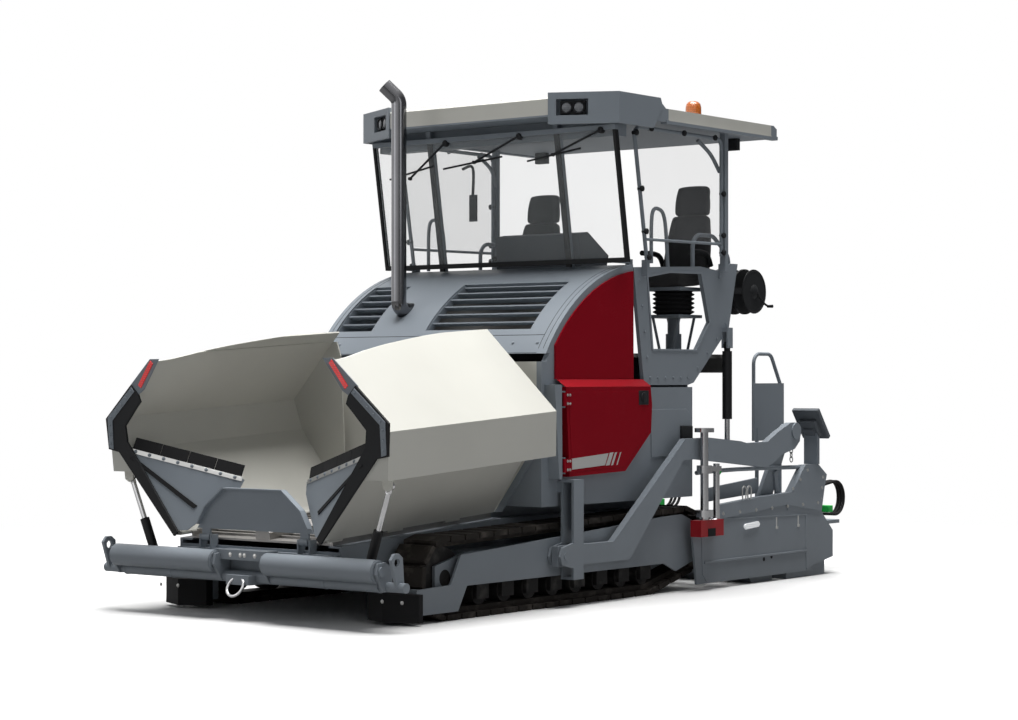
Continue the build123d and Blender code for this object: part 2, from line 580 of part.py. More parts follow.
def make_body_side():
    """Side wall of the engine housing with the service opening and the door's front post."""
    inner = HOOD_RADIUS - HOOD_SKIN - 1
    top = arc_region(inner, HOOD_FOOT_Z - 60, HOOD_REAR_X, BODY_FLOOR_Z)
    front_x = hood_point(inner, z=HOOD_FOOT_Z - 60)[0]
    wall = xz_prism(top, BODY_HALF - BODY_WALL, BODY_HALF)
    wall += side_plate([(BODY_REAR_X, BODY_FLOOR_Z), (HOOD_REAR_X + 1, BODY_FLOOR_Z), (HOOD_REAR_X + 1, 1625),
                        (BODY_REAR_X, 1625)], BODY_HALF - BODY_WALL, BODY_HALF)
    wall += block(front_x - 1, BODY_FRONT_X, BODY_HALF - BODY_WALL, BODY_HALF, BODY_FLOOR_Z, HOOD_FOOT_Z - 60)
    wall -= side_plate([(1130, 1580), (1095, 1040), (480, 1060), (190, 1300), (190, 1580)],
                       BODY_HALF - BODY_WALL - 1, BODY_HALF + 1)
    wall += side_plate([(1355, 1650), (1300, 950), (1262, 950), (1268, 1650)], BODY_HALF - 1, DOOR_FACE_Y)
    for z in (1050, 1540):
        wall += block(DOOR_AXIS_X - 10, 1290, DOOR_FACE_Y - 30, DOOR_FACE_Y - 2, z - 62, z - 52)
        wall += block(DOOR_AXIS_X - 10, 1290, DOOR_FACE_Y - 30, DOOR_FACE_Y - 2, z + 52, z + 62)
        wall += Pos(DOOR_AXIS_X, DOOR_FACE_Y + 4, z) * Cylinder(7, 124)
    return wall


def make_upper_panel():
    top = arc_region(HOOD_RADIUS - HOOD_SKIN - 14, 1940, HOOD_REAR_X + 14, 1690)
    return xz_prism(top, BODY_HALF, BODY_HALF + 14)


def make_door():
    """Deep service door: outer skin, rim and hinge barrels on its front edge."""
    skin = side_plate(DOOR_LINE, DOOR_FACE_Y - DOOR_DEPTH, DOOR_FACE_Y)
    hollow = [(1190, 1604), (1148, 993), (468, 1012), (136, 1288), (120, 1480), (138, 1604)]
    skin -= side_plate(hollow, DOOR_FACE_Y - DOOR_DEPTH - 1, DOOR_FACE_Y - 14)
    for z in (1050, 1540):
        ring = Pos(DOOR_AXIS_X, DOOR_FACE_Y + 4, z) * (Cylinder(13, 100) - Cylinder(7 + RUN_GAP, 102))
        leaf = block(1150, DOOR_AXIS_X - 8, DOOR_FACE_Y - 1, DOOR_FACE_Y + 6, z - 50, z + 50)
        skin += ring + leaf
    return skin


def make_engine():
    return block(200, 1150, -420, 420, TUNNEL_TOP_Z + PLATE + 120, 1900)


def make_engine_feet():
    feet = Part()
    for x in (280, 1020):
        for y in (-400, 400):
            feet += block(x - 40, x + 40, y - 40, y + 40, TUNNEL_TOP_Z + PLATE, TUNNEL_TOP_Z + PLATE + 120)
    return feet


def make_exhaust():
    x, y, z = EXHAUST_X, EXHAUST_Y, EXHAUST_FOOT_Z
    return pipe([(x - 190, y, z), (x, y, z), (x, y, EXHAUST_TOP_Z), (x + 70, y - 90, EXHAUST_TOP_Z + 110)],
                EXHAUST_RADIUS, [66, 100])


# ---------------------------------------------------------------- operator's platform
PANEL_LINE = [
    (205, 2560), (60, 1642), (-560, 1642), (-640, 1660), (-1165, 2110), (-1300, 2640), (-1200, 2640),
    (-1000, 2575), (-740, 2600),
]
PANEL_HOLE = [(10, 2490), (-60, 1925), (-680, 1925), (-870, 2150), (-745, 2540), (-300, 2535)]


def make_platform_panel():
    panel = side_plate(PANEL_LINE, BODY_HALF - PANEL_THICK, BODY_HALF)
    return panel - side_plate(PANEL_HOLE, BODY_HALF - PANEL_THICK - 1, BODY_HALF + 1)


def make_deck():
    inner = BODY_HALF - PANEL_THICK
    deck = block(DECK_REAR_X, HOOD_REAR_X - 10, -inner, inner, DECK_Z - 30, DECK_Z)
    front = block(HOOD_REAR_X - 10 - PLATE, HOOD_REAR_X - 10, -inner, inner, DECK_Z - 1, 2550)
    rear = block(DECK_REAR_X, DECK_REAR_X + 20, -inner, inner, 1740, DECK_Z)
    ribs = Part()
    for y in (-700, -10, 680):
        ribs += side_plate([(BODY_REAR_X, 1640), (DECK_REAR_X + 10, 1740), (DECK_REAR_X + 10, DECK_Z - 29),
                            (BODY_REAR_X, DECK_Z - 29)], y, y + 20)
    return deck + front + rear + ribs


SEAT_X, SEAT_Y, SEAT_Z = -900, 780, 2470


def make_seat_base():
    base = block(SEAT_X - 190, SEAT_X + 190, SEAT_Y - 190, SEAT_Y + 190, DECK_Z, DECK_Z + 190)
    for i in range(5):
        z = DECK_Z + 190 + i * 60
        base += Pos(SEAT_X, SEAT_Y, z + 15) * Box(300, 300, 31)
        base += Pos(SEAT_X, SEAT_Y, z + 45) * Box(250, 250, 31)
    return base + block(SEAT_X - 200, SEAT_X + 200, SEAT_Y - 200, SEAT_Y + 200, DECK_Z + 489, SEAT_Z - 30)


def make_seat():
    seat = side_plate([(SEAT_X + 260, SEAT_Z - 30), (SEAT_X + 275, SEAT_Z + 70), (SEAT_X + 230, SEAT_Z + 110),
                       (SEAT_X - 150, SEAT_Z + 90), (SEAT_X - 230, SEAT_Z + 560), (SEAT_X - 300, SEAT_Z + 610),
                       (SEAT_X - 340, SEAT_Z + 590), (SEAT_X - 330, SEAT_Z + 500), (SEAT_X - 270, SEAT_Z + 20),
                       (SEAT_X - 220, SEAT_Z - 30)], SEAT_Y - 240, SEAT_Y + 240)
    head = side_plate([(SEAT_X - 245, SEAT_Z + 590), (SEAT_X - 275, SEAT_Z + 820), (SEAT_X - 320, SEAT_Z + 840),
                       (SEAT_X - 360, SEAT_Z + 810), (SEAT_X - 340, SEAT_Z + 580)], SEAT_Y - 150, SEAT_Y + 150)
    return seat + head


def make_console():
    post = block(-330, -190, -160, 160, DECK_Z, 2560)
    desk = side_plate([(-430, 2560), (-470, 2700), (-180, 2880), (-60, 2860), (-90, 2560)], -430, 430)
    return post + desk


# ---------------------------------------------------------------- canopy
def glass_x(z):
    return GLASS_FOOT[0] + (GLASS_TOP[0] - GLASS_FOOT[0]) * (z - GLASS_FOOT[1]) / (GLASS_TOP[1] - GLASS_FOOT[1])


def leaning_bar(z0, z1, front, depth, y0, y1):
    """Bar between two heights that leans with the windscreen, its front face set back from the glass line."""
    return side_plate([(glass_x(z) - front - d, z) for z, d in ((z0, depth), (z0, 0), (z1, 0), (z1, depth))], y0, y1)


def make_cab_frame():
    frame = Part()
    foot_z, head_z = 2590, 3600
    for side in (-1, 1):
        frame += leaning_bar(foot_z, head_z + 38, 0, POST, *sorted((side * (CAB_HALF - 24), side * CAB_HALF)))
        near, far = sorted((side * (INNER_POST_Y - 22), side * (INNER_POST_Y + 22)))
        frame += leaning_bar(foot_z - 22, ROOF_INNER_Z, 28, 56, near, far)
        near, far = sorted((side * 1065, side * 1105))
        frame += block(150, glass_x(foot_z) - 10, near, far, foot_z, foot_z + 34)
        frame += block(150, 196, near, far, 2550, foot_z + 20)
        near, far = sorted((side * 1165, side * 1215))
        frame += block(CAB_REAR_X - 25, CAB_REAR_X + 25, near, far, 2570, ROOF_INNER_Z)
        near, far = sorted((side * BODY_HALF, side * 1166))
        frame += block(CAB_REAR_X - 25, CAB_REAR_X + 25, near, far, 2510, 2630)
    frame += leaning_bar(foot_z, foot_z + 36, 0, POST, -CAB_HALF + 2, CAB_HALF - 2)
    frame += leaning_bar(head_z, head_z + 38, 0, POST, -CAB_HALF + 2, CAB_HALF - 2)
    return frame + block(380, 500, -CAB_HALF + 24, CAB_HALF - 24, 3556, ROOF_INNER_Z)


def corner_place(side):
    """Frame on a front corner's face, at the lamp, with +X out of it."""
    (x0, y0), (x1, y1) = ROOF_CORNER
    turn = degrees(atan2(x0 - x1, y1 - y0))
    return (Pos(x0 + (x1 - x0) * CORNER_LAMP, side * (y0 + (y1 - y0) * CORNER_LAMP), LAMP_Z)
            * Rot(0, 0, side * turn))


def make_roof_corner():
    """Deep front corner of the roof with its lamp pocket."""
    (x0, y0), (x1, y1) = ROOF_CORNER
    corner = flat_plate([(-70, y0), (x0, y0), (x1, y1), (-70, y1)], CORNER_FLOOR_Z, CORNER_TOP_Z)
    corner -= side_plate([(-71, CORNER_FLOOR_Z - 1), (-71, CORNER_TOP_Z + 1), (44, CORNER_TOP_Z + 1), (17, 3821),
                          (127, 3655), (136, CORNER_FLOOR_Z - 1)], y0 - 1, y1 + 1)
    corner -= flat_plate([(-80, y0 - 1), (x0 - 40, y0 - 1), (x1 - 30, y1 - 30), (-80, y1 - 30)],
                         CORNER_FLOOR_Z - 1, ROOF_INNER_Z)
    return corner - corner_place(1) * Pos(20 - LAMP_POCKET / 2, 0, 0) * Box(LAMP_POCKET + 40, 250, 125)


def make_roof():
    roof = side_plate(ROOF_EDGE, -ROOF_HALF, ROOF_HALF)
    (x0, y0), (x1, y1) = ROOF_CORNER
    for side in (-1, 1):
        cut = [(x0 + 60, y0 - 6), (x0 - 12, y0 - 6), (x1 - 12, y1 - 6), (x1 - 12, y1 + 60), (x0 + 60, y1 + 60)]
        roof -= flat_plate([(x, side * y) for x, y in cut], ROOF_INNER_Z - 10, CORNER_TOP_Z + 10)
        roof -= corner_place(side) * Pos(20 - LAMP_POCKET / 2, 0, 0) * Box(LAMP_POCKET + 40, 250, 125)
        near, far = sorted((side * (ROOF_HALF - 50), side * (ROOF_HALF + 6)))
        roof += block(-1696, -40, near, far, ROOF_INNER_Z - 12, ROOF_INNER_Z + 18)
    return roof + make_roof_corner() + mirrored(make_roof_corner())


def make_glass():
    half = CAB_HALF - 24.3
    return side_plate([(glass_x(z) - d, z) for z, d in ((2626.3, 26), (2626.3, 18), (3599.7, 18), (3599.7, 26))],
                      -half, half)


def make_side_frame():
    """Tubular side window frame with its two feet."""
    y, rear = 1190, CAB_REAR_X + 25 + 16.3
    front_foot, front_head = (79, 2603), (262, 3650)
    lean = (front_head[0] - front_foot[0]) / (front_head[1] - front_foot[1])
    rail_x = front_foot[0] + lean * (2780 - front_foot[1])
    tubes = pipe([(front_foot[0], y, front_foot[1]), (front_head[0], y, front_head[1]), (rear, y, 3646),
                  (rear, y, 2690)], 16, [70, 70])
    tubes += rod((rail_x, y, 2780), (rear, y, 2790), 12)
    return tubes + block(60, 96, BODY_HALF + 0.3, y + 14, 2490, 2620)


BEACON_X, BEACON_Y = -1530, 560


def make_beacon():
    z = ROOF_EDGE[5][1]
    stem = Pos(BEACON_X, BEACON_Y, z) * Cylinder(45, 120, align=(Align.CENTER, Align.CENTER, Align.MIN))
    lens = Pos(BEACON_X, BEACON_Y, z + 120) * Cylinder(70, 130, align=(Align.CENTER, Align.CENTER, Align.MIN))
    return stem + lens


# ---------------------------------------------------------------- tow posts, arms and screed
ARM_LINE = [(1360, 460), (650, 458), (-330, 1215), (-680, 1218), (-1140, 1180), (-1250, 1160), (-1560, 1165),
            (-1720, 1240), (-1932, 1318), (-2050, 1318), (-2100, 1250), (-2080, 1160), (-1997, 1095), (-1803, 1056),
            (-1659, 990), (-1560, 950), (-1080, 995), (-480, 1050), (-300, 1045), (440, 310), (1360, 310)]
TOW_PIN = 28


def make_tow_post():
    post = Part()
    for near in (ARM_Y - 60, ARM_Y + 40):
        post += block(1080, 1205, near, near + 20, 205, 945)
        post += side_plate([(1200, 290), (1200, 480), (1340, 450), (1370, TOW_Z), (1340, 320)], near, near + 20)
    post += block(1080, 1100, ARM_Y - 60, ARM_Y + 60, 560, 945)
    post += block(1080, 1205, ARM_Y - 60, ARM_Y + 60, 925, 945)
    post += block(1080, 1205, ARM_Y - 60, ARM_Y + 60, 205, 225)
    post += disc_y(TOW_X, TOW_Z, ARM_Y - 66, ARM_Y + 66, TOW_PIN)
    post += block(1090, 1200, TRACK_PLATE_Y + TRACK_PLATE, ARM_Y - 59, 240, 300)
    post += block(1090, 1200, BODY_HALF, ARM_Y - 59, 850, 930)
    return post


def make_tow_arm():
    half = ARM_THICK / 2
    arm = side_plate(ARM_LINE, ARM_Y - half, ARM_Y + half)
    arm -= disc_y(TOW_X, TOW_Z, ARM_Y - half - 1, ARM_Y + half + 1, TOW_PIN + RUN_GAP)
    arm += disc_y(-2010, 1245, ARM_Y - half - 20, ARM_Y + half + 14, 70)
    x, z = LIFT_FOOT
    return arm + disc_y(x, z, LIFT_Y + EYE_WIDTH / 2 + 0.3, ARM_Y - half + 1, 40)


def make_screed():
    half = SCREED_HALF - 30
    body = side_plate([(SCREED_FRONT_X, 60), (SCREED_FRONT_X, SCREED_HEIGHT), (SCREED_REAR_X, SCREED_HEIGHT),
                       (SCREED_REAR_X, 0), (SCREED_FRONT_X - 60, 0)], -half, half)
    body -= side_plate([(SCREED_FRONT_X - PLATE, 70), (SCREED_FRONT_X - PLATE, SCREED_HEIGHT - PLATE),
                        (SCREED_REAR_X + PLATE, SCREED_HEIGHT - PLATE), (SCREED_REAR_X + PLATE, 40),
                        (SCREED_FRONT_X - 60, 40)], -half + PLATE, half - PLATE)
    for side in (-1, 1):
        tower = side_plate([(-1420, SCREED_HEIGHT - 1), (-1640, SCREED_HEIGHT - 1), (-2060, 1200), (-1960, 1290)],
                           *sorted((side * 1150, side * 1190)))
        body += tower
        body += disc_y(-2010, 1245, *sorted((side * 1149, side * (ARM_Y - ARM_THICK / 2 - 20))), 60)
    body += block(-1640, -1420, -1189, 1189, SCREED_HEIGHT - 1, SCREED_HEIGHT + 40)
    for y in (-1200, -60, 40, 1180):
        bracket = block(EXT_TUBE_X - 70, SCREED_REAR_X + 1, y, y + 20, 200, SCREED_HEIGHT)
        for z in EXT_TUBES_Z:
            bracket -= disc_y(EXT_TUBE_X, z, y - 1, y + 21, EXT_TUBE_RADIUS + RUN_GAP)
        body += bracket
    return body


GATE_LINE = [(-490, 50), (-433, 440), (-560, 432), (-640, 560), (-783, 567), (-1850, 642), (-2445, 540),
             (-2632, 374), (-2632, 148), (-2259, 85), (-2259, 50)]
RAIL_LINE = [(-790, 555), (-798, 671), (-1406, 711), (-1931, 732), (-2420, 700), (-2410, 550), (-1850, 630)]
BRACKET_LINE = [(-1870, 580), (-1868, 648), (-2168, 955), (-2381, 955), (-2525, 861), (-2489, 758), (-2428, 520)]


def make_extension(tube_z):
    """Left screed extension: box, end gate, guide tube and walkway."""
    y0, y1 = 12, SCREED_HALF + 8
    body = block(EXT_REAR_X, EXT_FRONT_X, y0, y1, 0, EXT_TOP_Z)
    body -= block(EXT_REAR_X + PLATE, EXT_FRONT_X - PLATE, y0 + PLATE, y1 - PLATE, 30, EXT_TOP_Z - PLATE)
    body += disc_y(EXT_TUBE_X, tube_z, -1150, y1, EXT_TUBE_RADIUS)
    body += side_plate(GATE_LINE, y1, y1 + GATE_THICK)
    body += side_plate(RAIL_LINE, y1 - 24, y1 + GATE_THICK + 12)
    body += block(-2400, EXT_FRONT_X - 20, y1 - 30, y1 + 1, EXT_TOP_Z - 1, 540)
    body += side_plate(BRACKET_LINE, y1 - 48, y1 + GATE_THICK + 4)
    step = block(EXT_REAR_X - 260, EXT_REAR_X + 1, y0 + 20, y1, 430, 460)
    step += block(EXT_REAR_X - 20, EXT_REAR_X + 1, y0 + 20, y1, 130, 460)
    return body + step


def make_auger():
    y0, y1 = 78 + RUN_GAP, 1140
    auger = disc_y(AUGER_X, AUGER_Z, y0, y1, AUGER_SHAFT)
    blade = Pos(AUGER_RADIUS / 2 + 18, 0, 0) * Box(AUGER_RADIUS - 36, 12, 150)
    steps = int((y1 - y0 - 80) / AUGER_PITCH * AUGER_BLADES)
    tilt = degrees(atan2(AUGER_PITCH, 2 * pi * AUGER_RADIUS * 0.7))
    for i in range(steps):
        turn = 360 * i / AUGER_BLADES
        auger += (Pos(AUGER_X, y0 + 50 + i * AUGER_PITCH / AUGER_BLADES, AUGER_Z) * Rot(0, turn, 0)
                  * Rot(tilt, 0, 0) * blade)
    return auger


def make_auger_bracket():
    bracket = block(CHASSIS_REAR_X - 150, CHASSIS_REAR_X + 1, -70, 70, AUGER_Z - 60, AUGER_Z + 60)
    bracket += disc_y(AUGER_X, AUGER_Z, -78, 78, 120)
    return bracket


# ---------------------------------------------------------------- cylinders
def rod_span(rest_length, barrel_length):
    """Distances from the barrel's pin at which the rod starts and ends, at rest."""
    return barrel_length - ROD_OVERLAP, rest_length


def make_cylinder(length, barrel_length, barrel_radius, rod_radius, eye_width):
    """Barrel and rod along +Z from the barrel's pin, eyes across Y."""
    barrel = Pos(0, 0, 42) * Cylinder(barrel_radius, barrel_length - 42, align=(Align.CENTER, Align.CENTER, Align.MIN))
    bore = Pos(0, 0, 55) * Cylinder(rod_radius + RUN_GAP, barrel_length, align=(Align.CENTER, Align.CENTER, Align.MIN))
    eye = disc_y(0, 0, -eye_width / 2, eye_width / 2, 34) + block(-26, 26, -eye_width / 2, eye_width / 2, 0, 50)
    barrel = barrel + eye - bore - disc_y(0, 0, -eye_width, eye_width, 14 + RUN_GAP)
    start, end = rod_span(length, barrel_length)
    shaft = Pos(0, 0, start) * Cylinder(rod_radius, end - start - 55, align=(Align.CENTER, Align.CENTER, Align.MIN))
    head = disc_y(0, end, -eye_width / 2, eye_width / 2, 32)
    neck = block(-16, 16, -eye_width / 2, eye_width / 2, end - 57, end)
    return barrel, shaft + neck + head


def wing_cylinder():
    foot, eye = WING_CYL_FOOT, WING_CYL_EYE
    length = hypot(eye[0] - foot[0], eye[1] - foot[1])
    lean = degrees(atan2(eye[0] - foot[0], eye[1] - foot[1]))
    place = HOPPER * Pos(WING_CYL_X, foot[0], foot[1]) * Rot(-lean, 0, 0) * Rot(0, 0, 90)
    barrel, shaft = make_cylinder(length, WING_BARREL_LENGTH, WING_BARREL_RADIUS, WING_ROD_RADIUS, EYE_WIDTH)
    return place * barrel, place * shaft


def make_wing_cylinder_mount():
    mount = HOPPER * rod((WING_CYL_X - 40, *WING_CYL_FOOT), (WING_CYL_X + 40, *WING_CYL_FOOT), 14)
    line = [(CHASSIS_HALF - 1, -285), (WING_CYL_FOOT[0] + 20, -275), (WING_CYL_FOOT[0] + 40, -235),
            (WING_CYL_FOOT[0] + 10, -200), (CHASSIS_HALF - 1, -150)]
    mount += hopper_plate(line, WING_CYL_X - 52, WING_CYL_X - 40 + 1)
    mount += hopper_plate(line, WING_CYL_X + 39, WING_CYL_X + 50)
    return mount


def lift_cylinder():
    length = LIFT_TOP[1] - LIFT_FOOT[1]
    place = Pos(LIFT_TOP[0], LIFT_Y, LIFT_TOP[1]) * Rot(180, 0, 0)
    barrel, shaft = make_cylinder(length, LIFT_BARREL_LENGTH, LIFT_BARREL_RADIUS, LIFT_ROD_RADIUS, EYE_WIDTH)
    return place * barrel, place * shaft


def make_lift_mount():
    x, z = LIFT_TOP
    mount = disc_y(x, z, LIFT_Y - 34, LIFT_Y + 34, 14)
    for y in (LIFT_Y - 30, LIFT_Y + 18):
        mount += block(x - 40, x + 40, y, y + PLATE, z - 18, z + 150)
    return mount + block(x - 40, x + 40, BODY_HALF - PANEL_THICK, LIFT_Y + 18 + PLATE, z + 115, z + 150)


def make_gate_spindle():
    """End gate height spindle, its guide bar and their clamp."""
    x, y = -524, SCREED_HALF + 78
    spindle = rod((x, y, 560), (x, y, 1270), 32) + rod((x, y, 1265), (x, y, 1298), 78)
    for z, height, radius in ((940, 60, 62), (590, 55, 72)):
        spindle += rod((x, y, z), (x, y, z + height), radius)
    spindle += block(-730, -400, y - 50, y + 50, 436, 566)
    spindle += rod((-700, y, 560), (-700, y, 1010), 26)
    return spindle + block(-730, x, y - 30, y + 30, 950, 990)


def make_control_box():
    """Tilted control panel on its post."""
    x, y = -2340, SCREED_HALF - 10
    box = Pos(x + 10, y, 1306) * Rot(0, 38, 0) * Box(34, 250, 300)
    return box + block(x - 20, x + 20, y - 66, y + 66, 955.3, 1290)


def make_hoses():
    """Bundle of hoses looped behind the extension, from a terminal block on its walkway."""
    x = EXT_REAR_X - 240
    hoses = block(x - 10, x + 40, 830, 970, 460, 740)
    for i in range(HOSE_COUNT):
        y, inset = 860 + i * 36, i * 22
        hoses += pipe([(x, y, 700), (HOSE_REACH_X + 200 - inset, y, 760), (HOSE_REACH_X + inset / 2, y, 640),
                       (HOSE_REACH_X + 165, y, 520), (x, y, 500)], HOSE_RADIUS, HOSE_BENDS)
    return hoses


def make_guard():
    """Folding guard and step at the back of the screed."""
    x0, x1, y = -2650, -2140, 760
    guard = block(x0, x1, y, y + 14, 1150, 1650)
    for x, foot in ((x0 + 60, 460), (x1 - 70, EXT_TOP_Z)):
        guard += rod((x, y + 7, foot), (x, y + 7, 1260), 17)
    guard += pipe([(x1 - 30, y, 1300), (x1 - 30, y, 1905), (x0 + 200, y, 1905), (x0 + 40, y, 1640)], 16, [90, 90])
    return guard


def make_handrails():
    rails = Part()
    for side in (-1, 1):
        y = side * (BODY_HALF - PANEL_THICK - 17.3)
        rails += pipe([(-1190, y, 2110), (-1240, y, 2700), (-1000, y, 2860), (-700, y, 2860), (-700, y, 2570)], 17,
                      [120, 120, 110])
    return rails


def make_hose_reel():
    x, y, z = -1560, 1000, 2420
    reel = disc_y(x, z, y - 60, y + 60, 120)
    for near in (y - 60, y + 40):
        reel += disc_y(x, z, near, near + 20, 190)
    bracket = side_plate([(x - 30, z - 25), (-1238, z - 25), (-1250.7, z + 25), (x - 30, z + 25)],
                         BODY_HALF - PANEL_THICK + 4, BODY_HALF - 4)
    return reel + disc_y(x, z, y, BODY_HALF - PANEL_THICK + 5, 25) + bracket


def make_work_lamps():
    lamps = Part()
    for side in (-1, 1):
        lamps += corner_place(side) * Pos(-LAMP_POCKET + 30, 0, 0) * Box(60, 200, 100)
        lamps += block(-1480, -1420, side * 1000 - 60, side * 1000 + 60, ROOF_INNER_Z - 100, ROOF_INNER_Z)
    return lamps


# ---------------------------------------------------------------- assembly
add("chassis_frame", make_chassis() + make_apron_hinge() + make_wing_cylinder_mount()
    + mirrored(make_wing_cylinder_mount()) + make_auger_bracket())
add("body_bulkheads", make_body_shell(), make_hopper_wall())
add("push_beam", make_push_beam() + make_tow_ring())
add_pair("push_roller", make_push_roller())
add_pair("track_frame", make_track_frame())
add("track_wheels", *make_track_wheels(), *[mirrored(wheel) for wheel in make_track_wheels()])
add_pair("track", make_track())
add("wear_blocks", make_wear_block(), mirrored(make_wear_block()))
add("hopper_floor", make_hopper_floor())
add_pair("hopper_wing", make_wing())
add_pair("wing_lip", make_wing_lip())
barrel, shaft = wing_cylinder()
add_pair("wing_cylinder_barrel", barrel)
add_pair("wing_cylinder_rod", shaft)
add("hopper_apron", make_apron())
add("engine_hood", make_hood())
add("engine", make_engine(), make_engine_feet())
add("exhaust_stack", make_exhaust())
add_pair("body_side", make_body_side())
add("upper_panels", make_upper_panel(), mirrored(make_upper_panel()))
add_pair("service_door", make_door())
add("platform_deck", make_deck())
add_pair("platform_panel", make_platform_panel() + make_lift_mount())
add("seat_bases", make_seat_base(), mirrored(make_seat_base()))
add_pair("seat", make_seat())
add("control_console", make_console())
add("cab_frame", make_cab_frame())
add("canopy_roof", make_roof())
add("front_glass", make_glass())
add("side_window_frames", make_side_frame(), mirrored(make_side_frame()))
add("beacon", make_beacon())
add("work_lamps", make_work_lamps())
add("handrails", make_handrails())
add("hose_reel", make_hose_reel())
add("tow_posts", make_tow_post(), mirrored(make_tow_post()))
add("tow_arms", make_tow_arm(), mirrored(make_tow_arm()))
add("screed_body", make_screed())
add("screed_extension_left", make_extension(EXT_TUBES_Z[0]))
add("screed_extension_right", mirrored(make_extension(EXT_TUBES_Z[1])))
add_pair("extension_controls", make_gate_spindle(), make_control_box(), make_guard())
add_pair("extension_hoses", make_hoses())
barrel, shaft = lift_cylinder()
add_pair("lift_cylinder_barrel", barrel)
add_pair("lift_cylinder_rod", shaft)
add_pair("auger", make_auger())

os.makedirs("parts", exist_ok=True)
for name, solids in NODES.items():
    export_step(solids, f"parts/{name}.step")
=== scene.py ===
"""Looks of a tracked asphalt paver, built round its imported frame."""
from math import cos, pi, radians, sin

import bmesh
import bpy
from mathutils import Matrix, Vector


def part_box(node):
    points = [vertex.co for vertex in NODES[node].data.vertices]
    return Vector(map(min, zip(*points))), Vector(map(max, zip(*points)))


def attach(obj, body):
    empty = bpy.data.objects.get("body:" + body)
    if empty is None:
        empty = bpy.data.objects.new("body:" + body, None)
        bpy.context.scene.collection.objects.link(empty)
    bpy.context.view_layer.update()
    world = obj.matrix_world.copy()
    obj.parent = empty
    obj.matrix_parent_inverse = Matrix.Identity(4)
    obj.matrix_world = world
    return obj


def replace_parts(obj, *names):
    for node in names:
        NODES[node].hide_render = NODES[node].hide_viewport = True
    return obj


bl_info = {
    "name": "Asphalt paver looks",
    "version": (1, 0, 0),
    "blender": (4, 5, 0),
    "location": "3D View > Sidebar > Paver",
    "description": "Finishes and trim for a tracked asphalt paver",
    "category": "Object",
}

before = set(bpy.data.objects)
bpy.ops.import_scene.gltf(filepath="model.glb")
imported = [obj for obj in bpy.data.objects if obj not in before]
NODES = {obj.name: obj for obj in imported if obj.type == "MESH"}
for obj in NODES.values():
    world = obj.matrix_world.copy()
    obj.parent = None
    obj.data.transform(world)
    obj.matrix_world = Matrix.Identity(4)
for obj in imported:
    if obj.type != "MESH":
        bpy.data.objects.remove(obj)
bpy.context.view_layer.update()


# ---------------------------------------------------------------- shader maths

class Value:
    """A socket that Python's operators work on; each one adds a Math node."""

    def __init__(self, tree, socket):
        self.tree, self.socket = tree, socket

    def math(self, operation, *others):
        return self.tree.node("Math", {"operation": operation}, self, *others)

    def __add__(self, other):
        return self.math("ADD", other)

    __radd__ = __add__

    def __sub__(self, other):
        return self.math("SUBTRACT", other)

    def __rsub__(self, other):
        return self.tree.node("Math", {"operation": "SUBTRACT"}, other, self)

    def __mul__(self, other):
        return self.math("MULTIPLY", other)

    def __gt__(self, other):
        return self.math("GREATER_THAN", other)

    def __lt__(self, other):
        return self.math("LESS_THAN", other)


class Tree:
    """The emptied node tree of a material or world, and calls that add nodes to it."""

    def __init__(self, owner):
        owner.use_nodes = True
        self.tree = owner.node_tree
        self.tree.nodes.clear()

    def raw(self, kind, settings=None, *values, **named):
        node = self.tree.nodes.new("ShaderNode" + kind)
        for key, setting in (settings or {}).items():
            setattr(node, key, setting)
        pairs = list(enumerate(values)) + [(key.replace("_", " "), value) for key, value in named.items()]
        for key, value in pairs:
            self.feed(node.inputs[key], value)
        return node

    def node(self, kind, settings=None, *values, **named):
        return Value(self, self.raw(kind, settings, *values, **named).outputs[0])

    def feed(self, socket, value):
        if isinstance(value, Value):
            self.tree.links.new(value.socket, socket)
        elif isinstance(value, bpy.types.NodeSocket):
            self.tree.links.new(value, socket)
        elif socket.type == "RGBA" and len(value) == 3:
            socket.default_value = (*value, 1)
        else:
            socket.default_value = value


class Finish(Tree):
    """One material: a surface and what varies over it."""

    def __init__(self, name):
        self.material = bpy.data.materials.new(name)
        super().__init__(self.material)
        self.place = self.raw("TexCoord").outputs["Object"]

    def noise(self, scale, detail=3, stretch=(1, 1, 1)):
        place = self.node("VectorMath", {"operation": "MULTIPLY"}, self.place, stretch)
        return self.node("TexNoise", None, Vector=place, Scale=scale, Detail=detail)

    def blend(self, factor, low, high):
        node = self.raw("Mix", {"data_type": "RGBA"})
        colours = [socket for socket in node.inputs if socket.type == "RGBA"]
        self.feed(node.inputs[0], factor)
        self.feed(colours[0], low)
        self.feed(colours[1], high)
        return Value(self, next(socket for socket in node.outputs if socket.type == "RGBA"))

    def axis(self, name):
        split = self.raw("SeparateXYZ", None, self.place)
        return Value(self, split.outputs[name])

    def across(self):
        """Distance from the machine's middle plane."""
        return self.axis("Y").math("ABSOLUTE")

    def surface(self, base, rough, bump=None, depth=0.001, strength=0.3, **constants):
        shader = self.raw("BsdfPrincipled", None, Roughness=rough, **constants)
        self.feed(shader.inputs["Base Color"], base)
        if bump is not None:
            bent = self.node("Bump", None, Height=bump, Strength=strength, Distance=depth)
            self.feed(shader.inputs["Normal"], bent)
        self.raw("OutputMaterial", None, shader.outputs[0])
        return self.material


def shade(colour, factor):
    return tuple(min(1.0, part * factor) for part in colour)


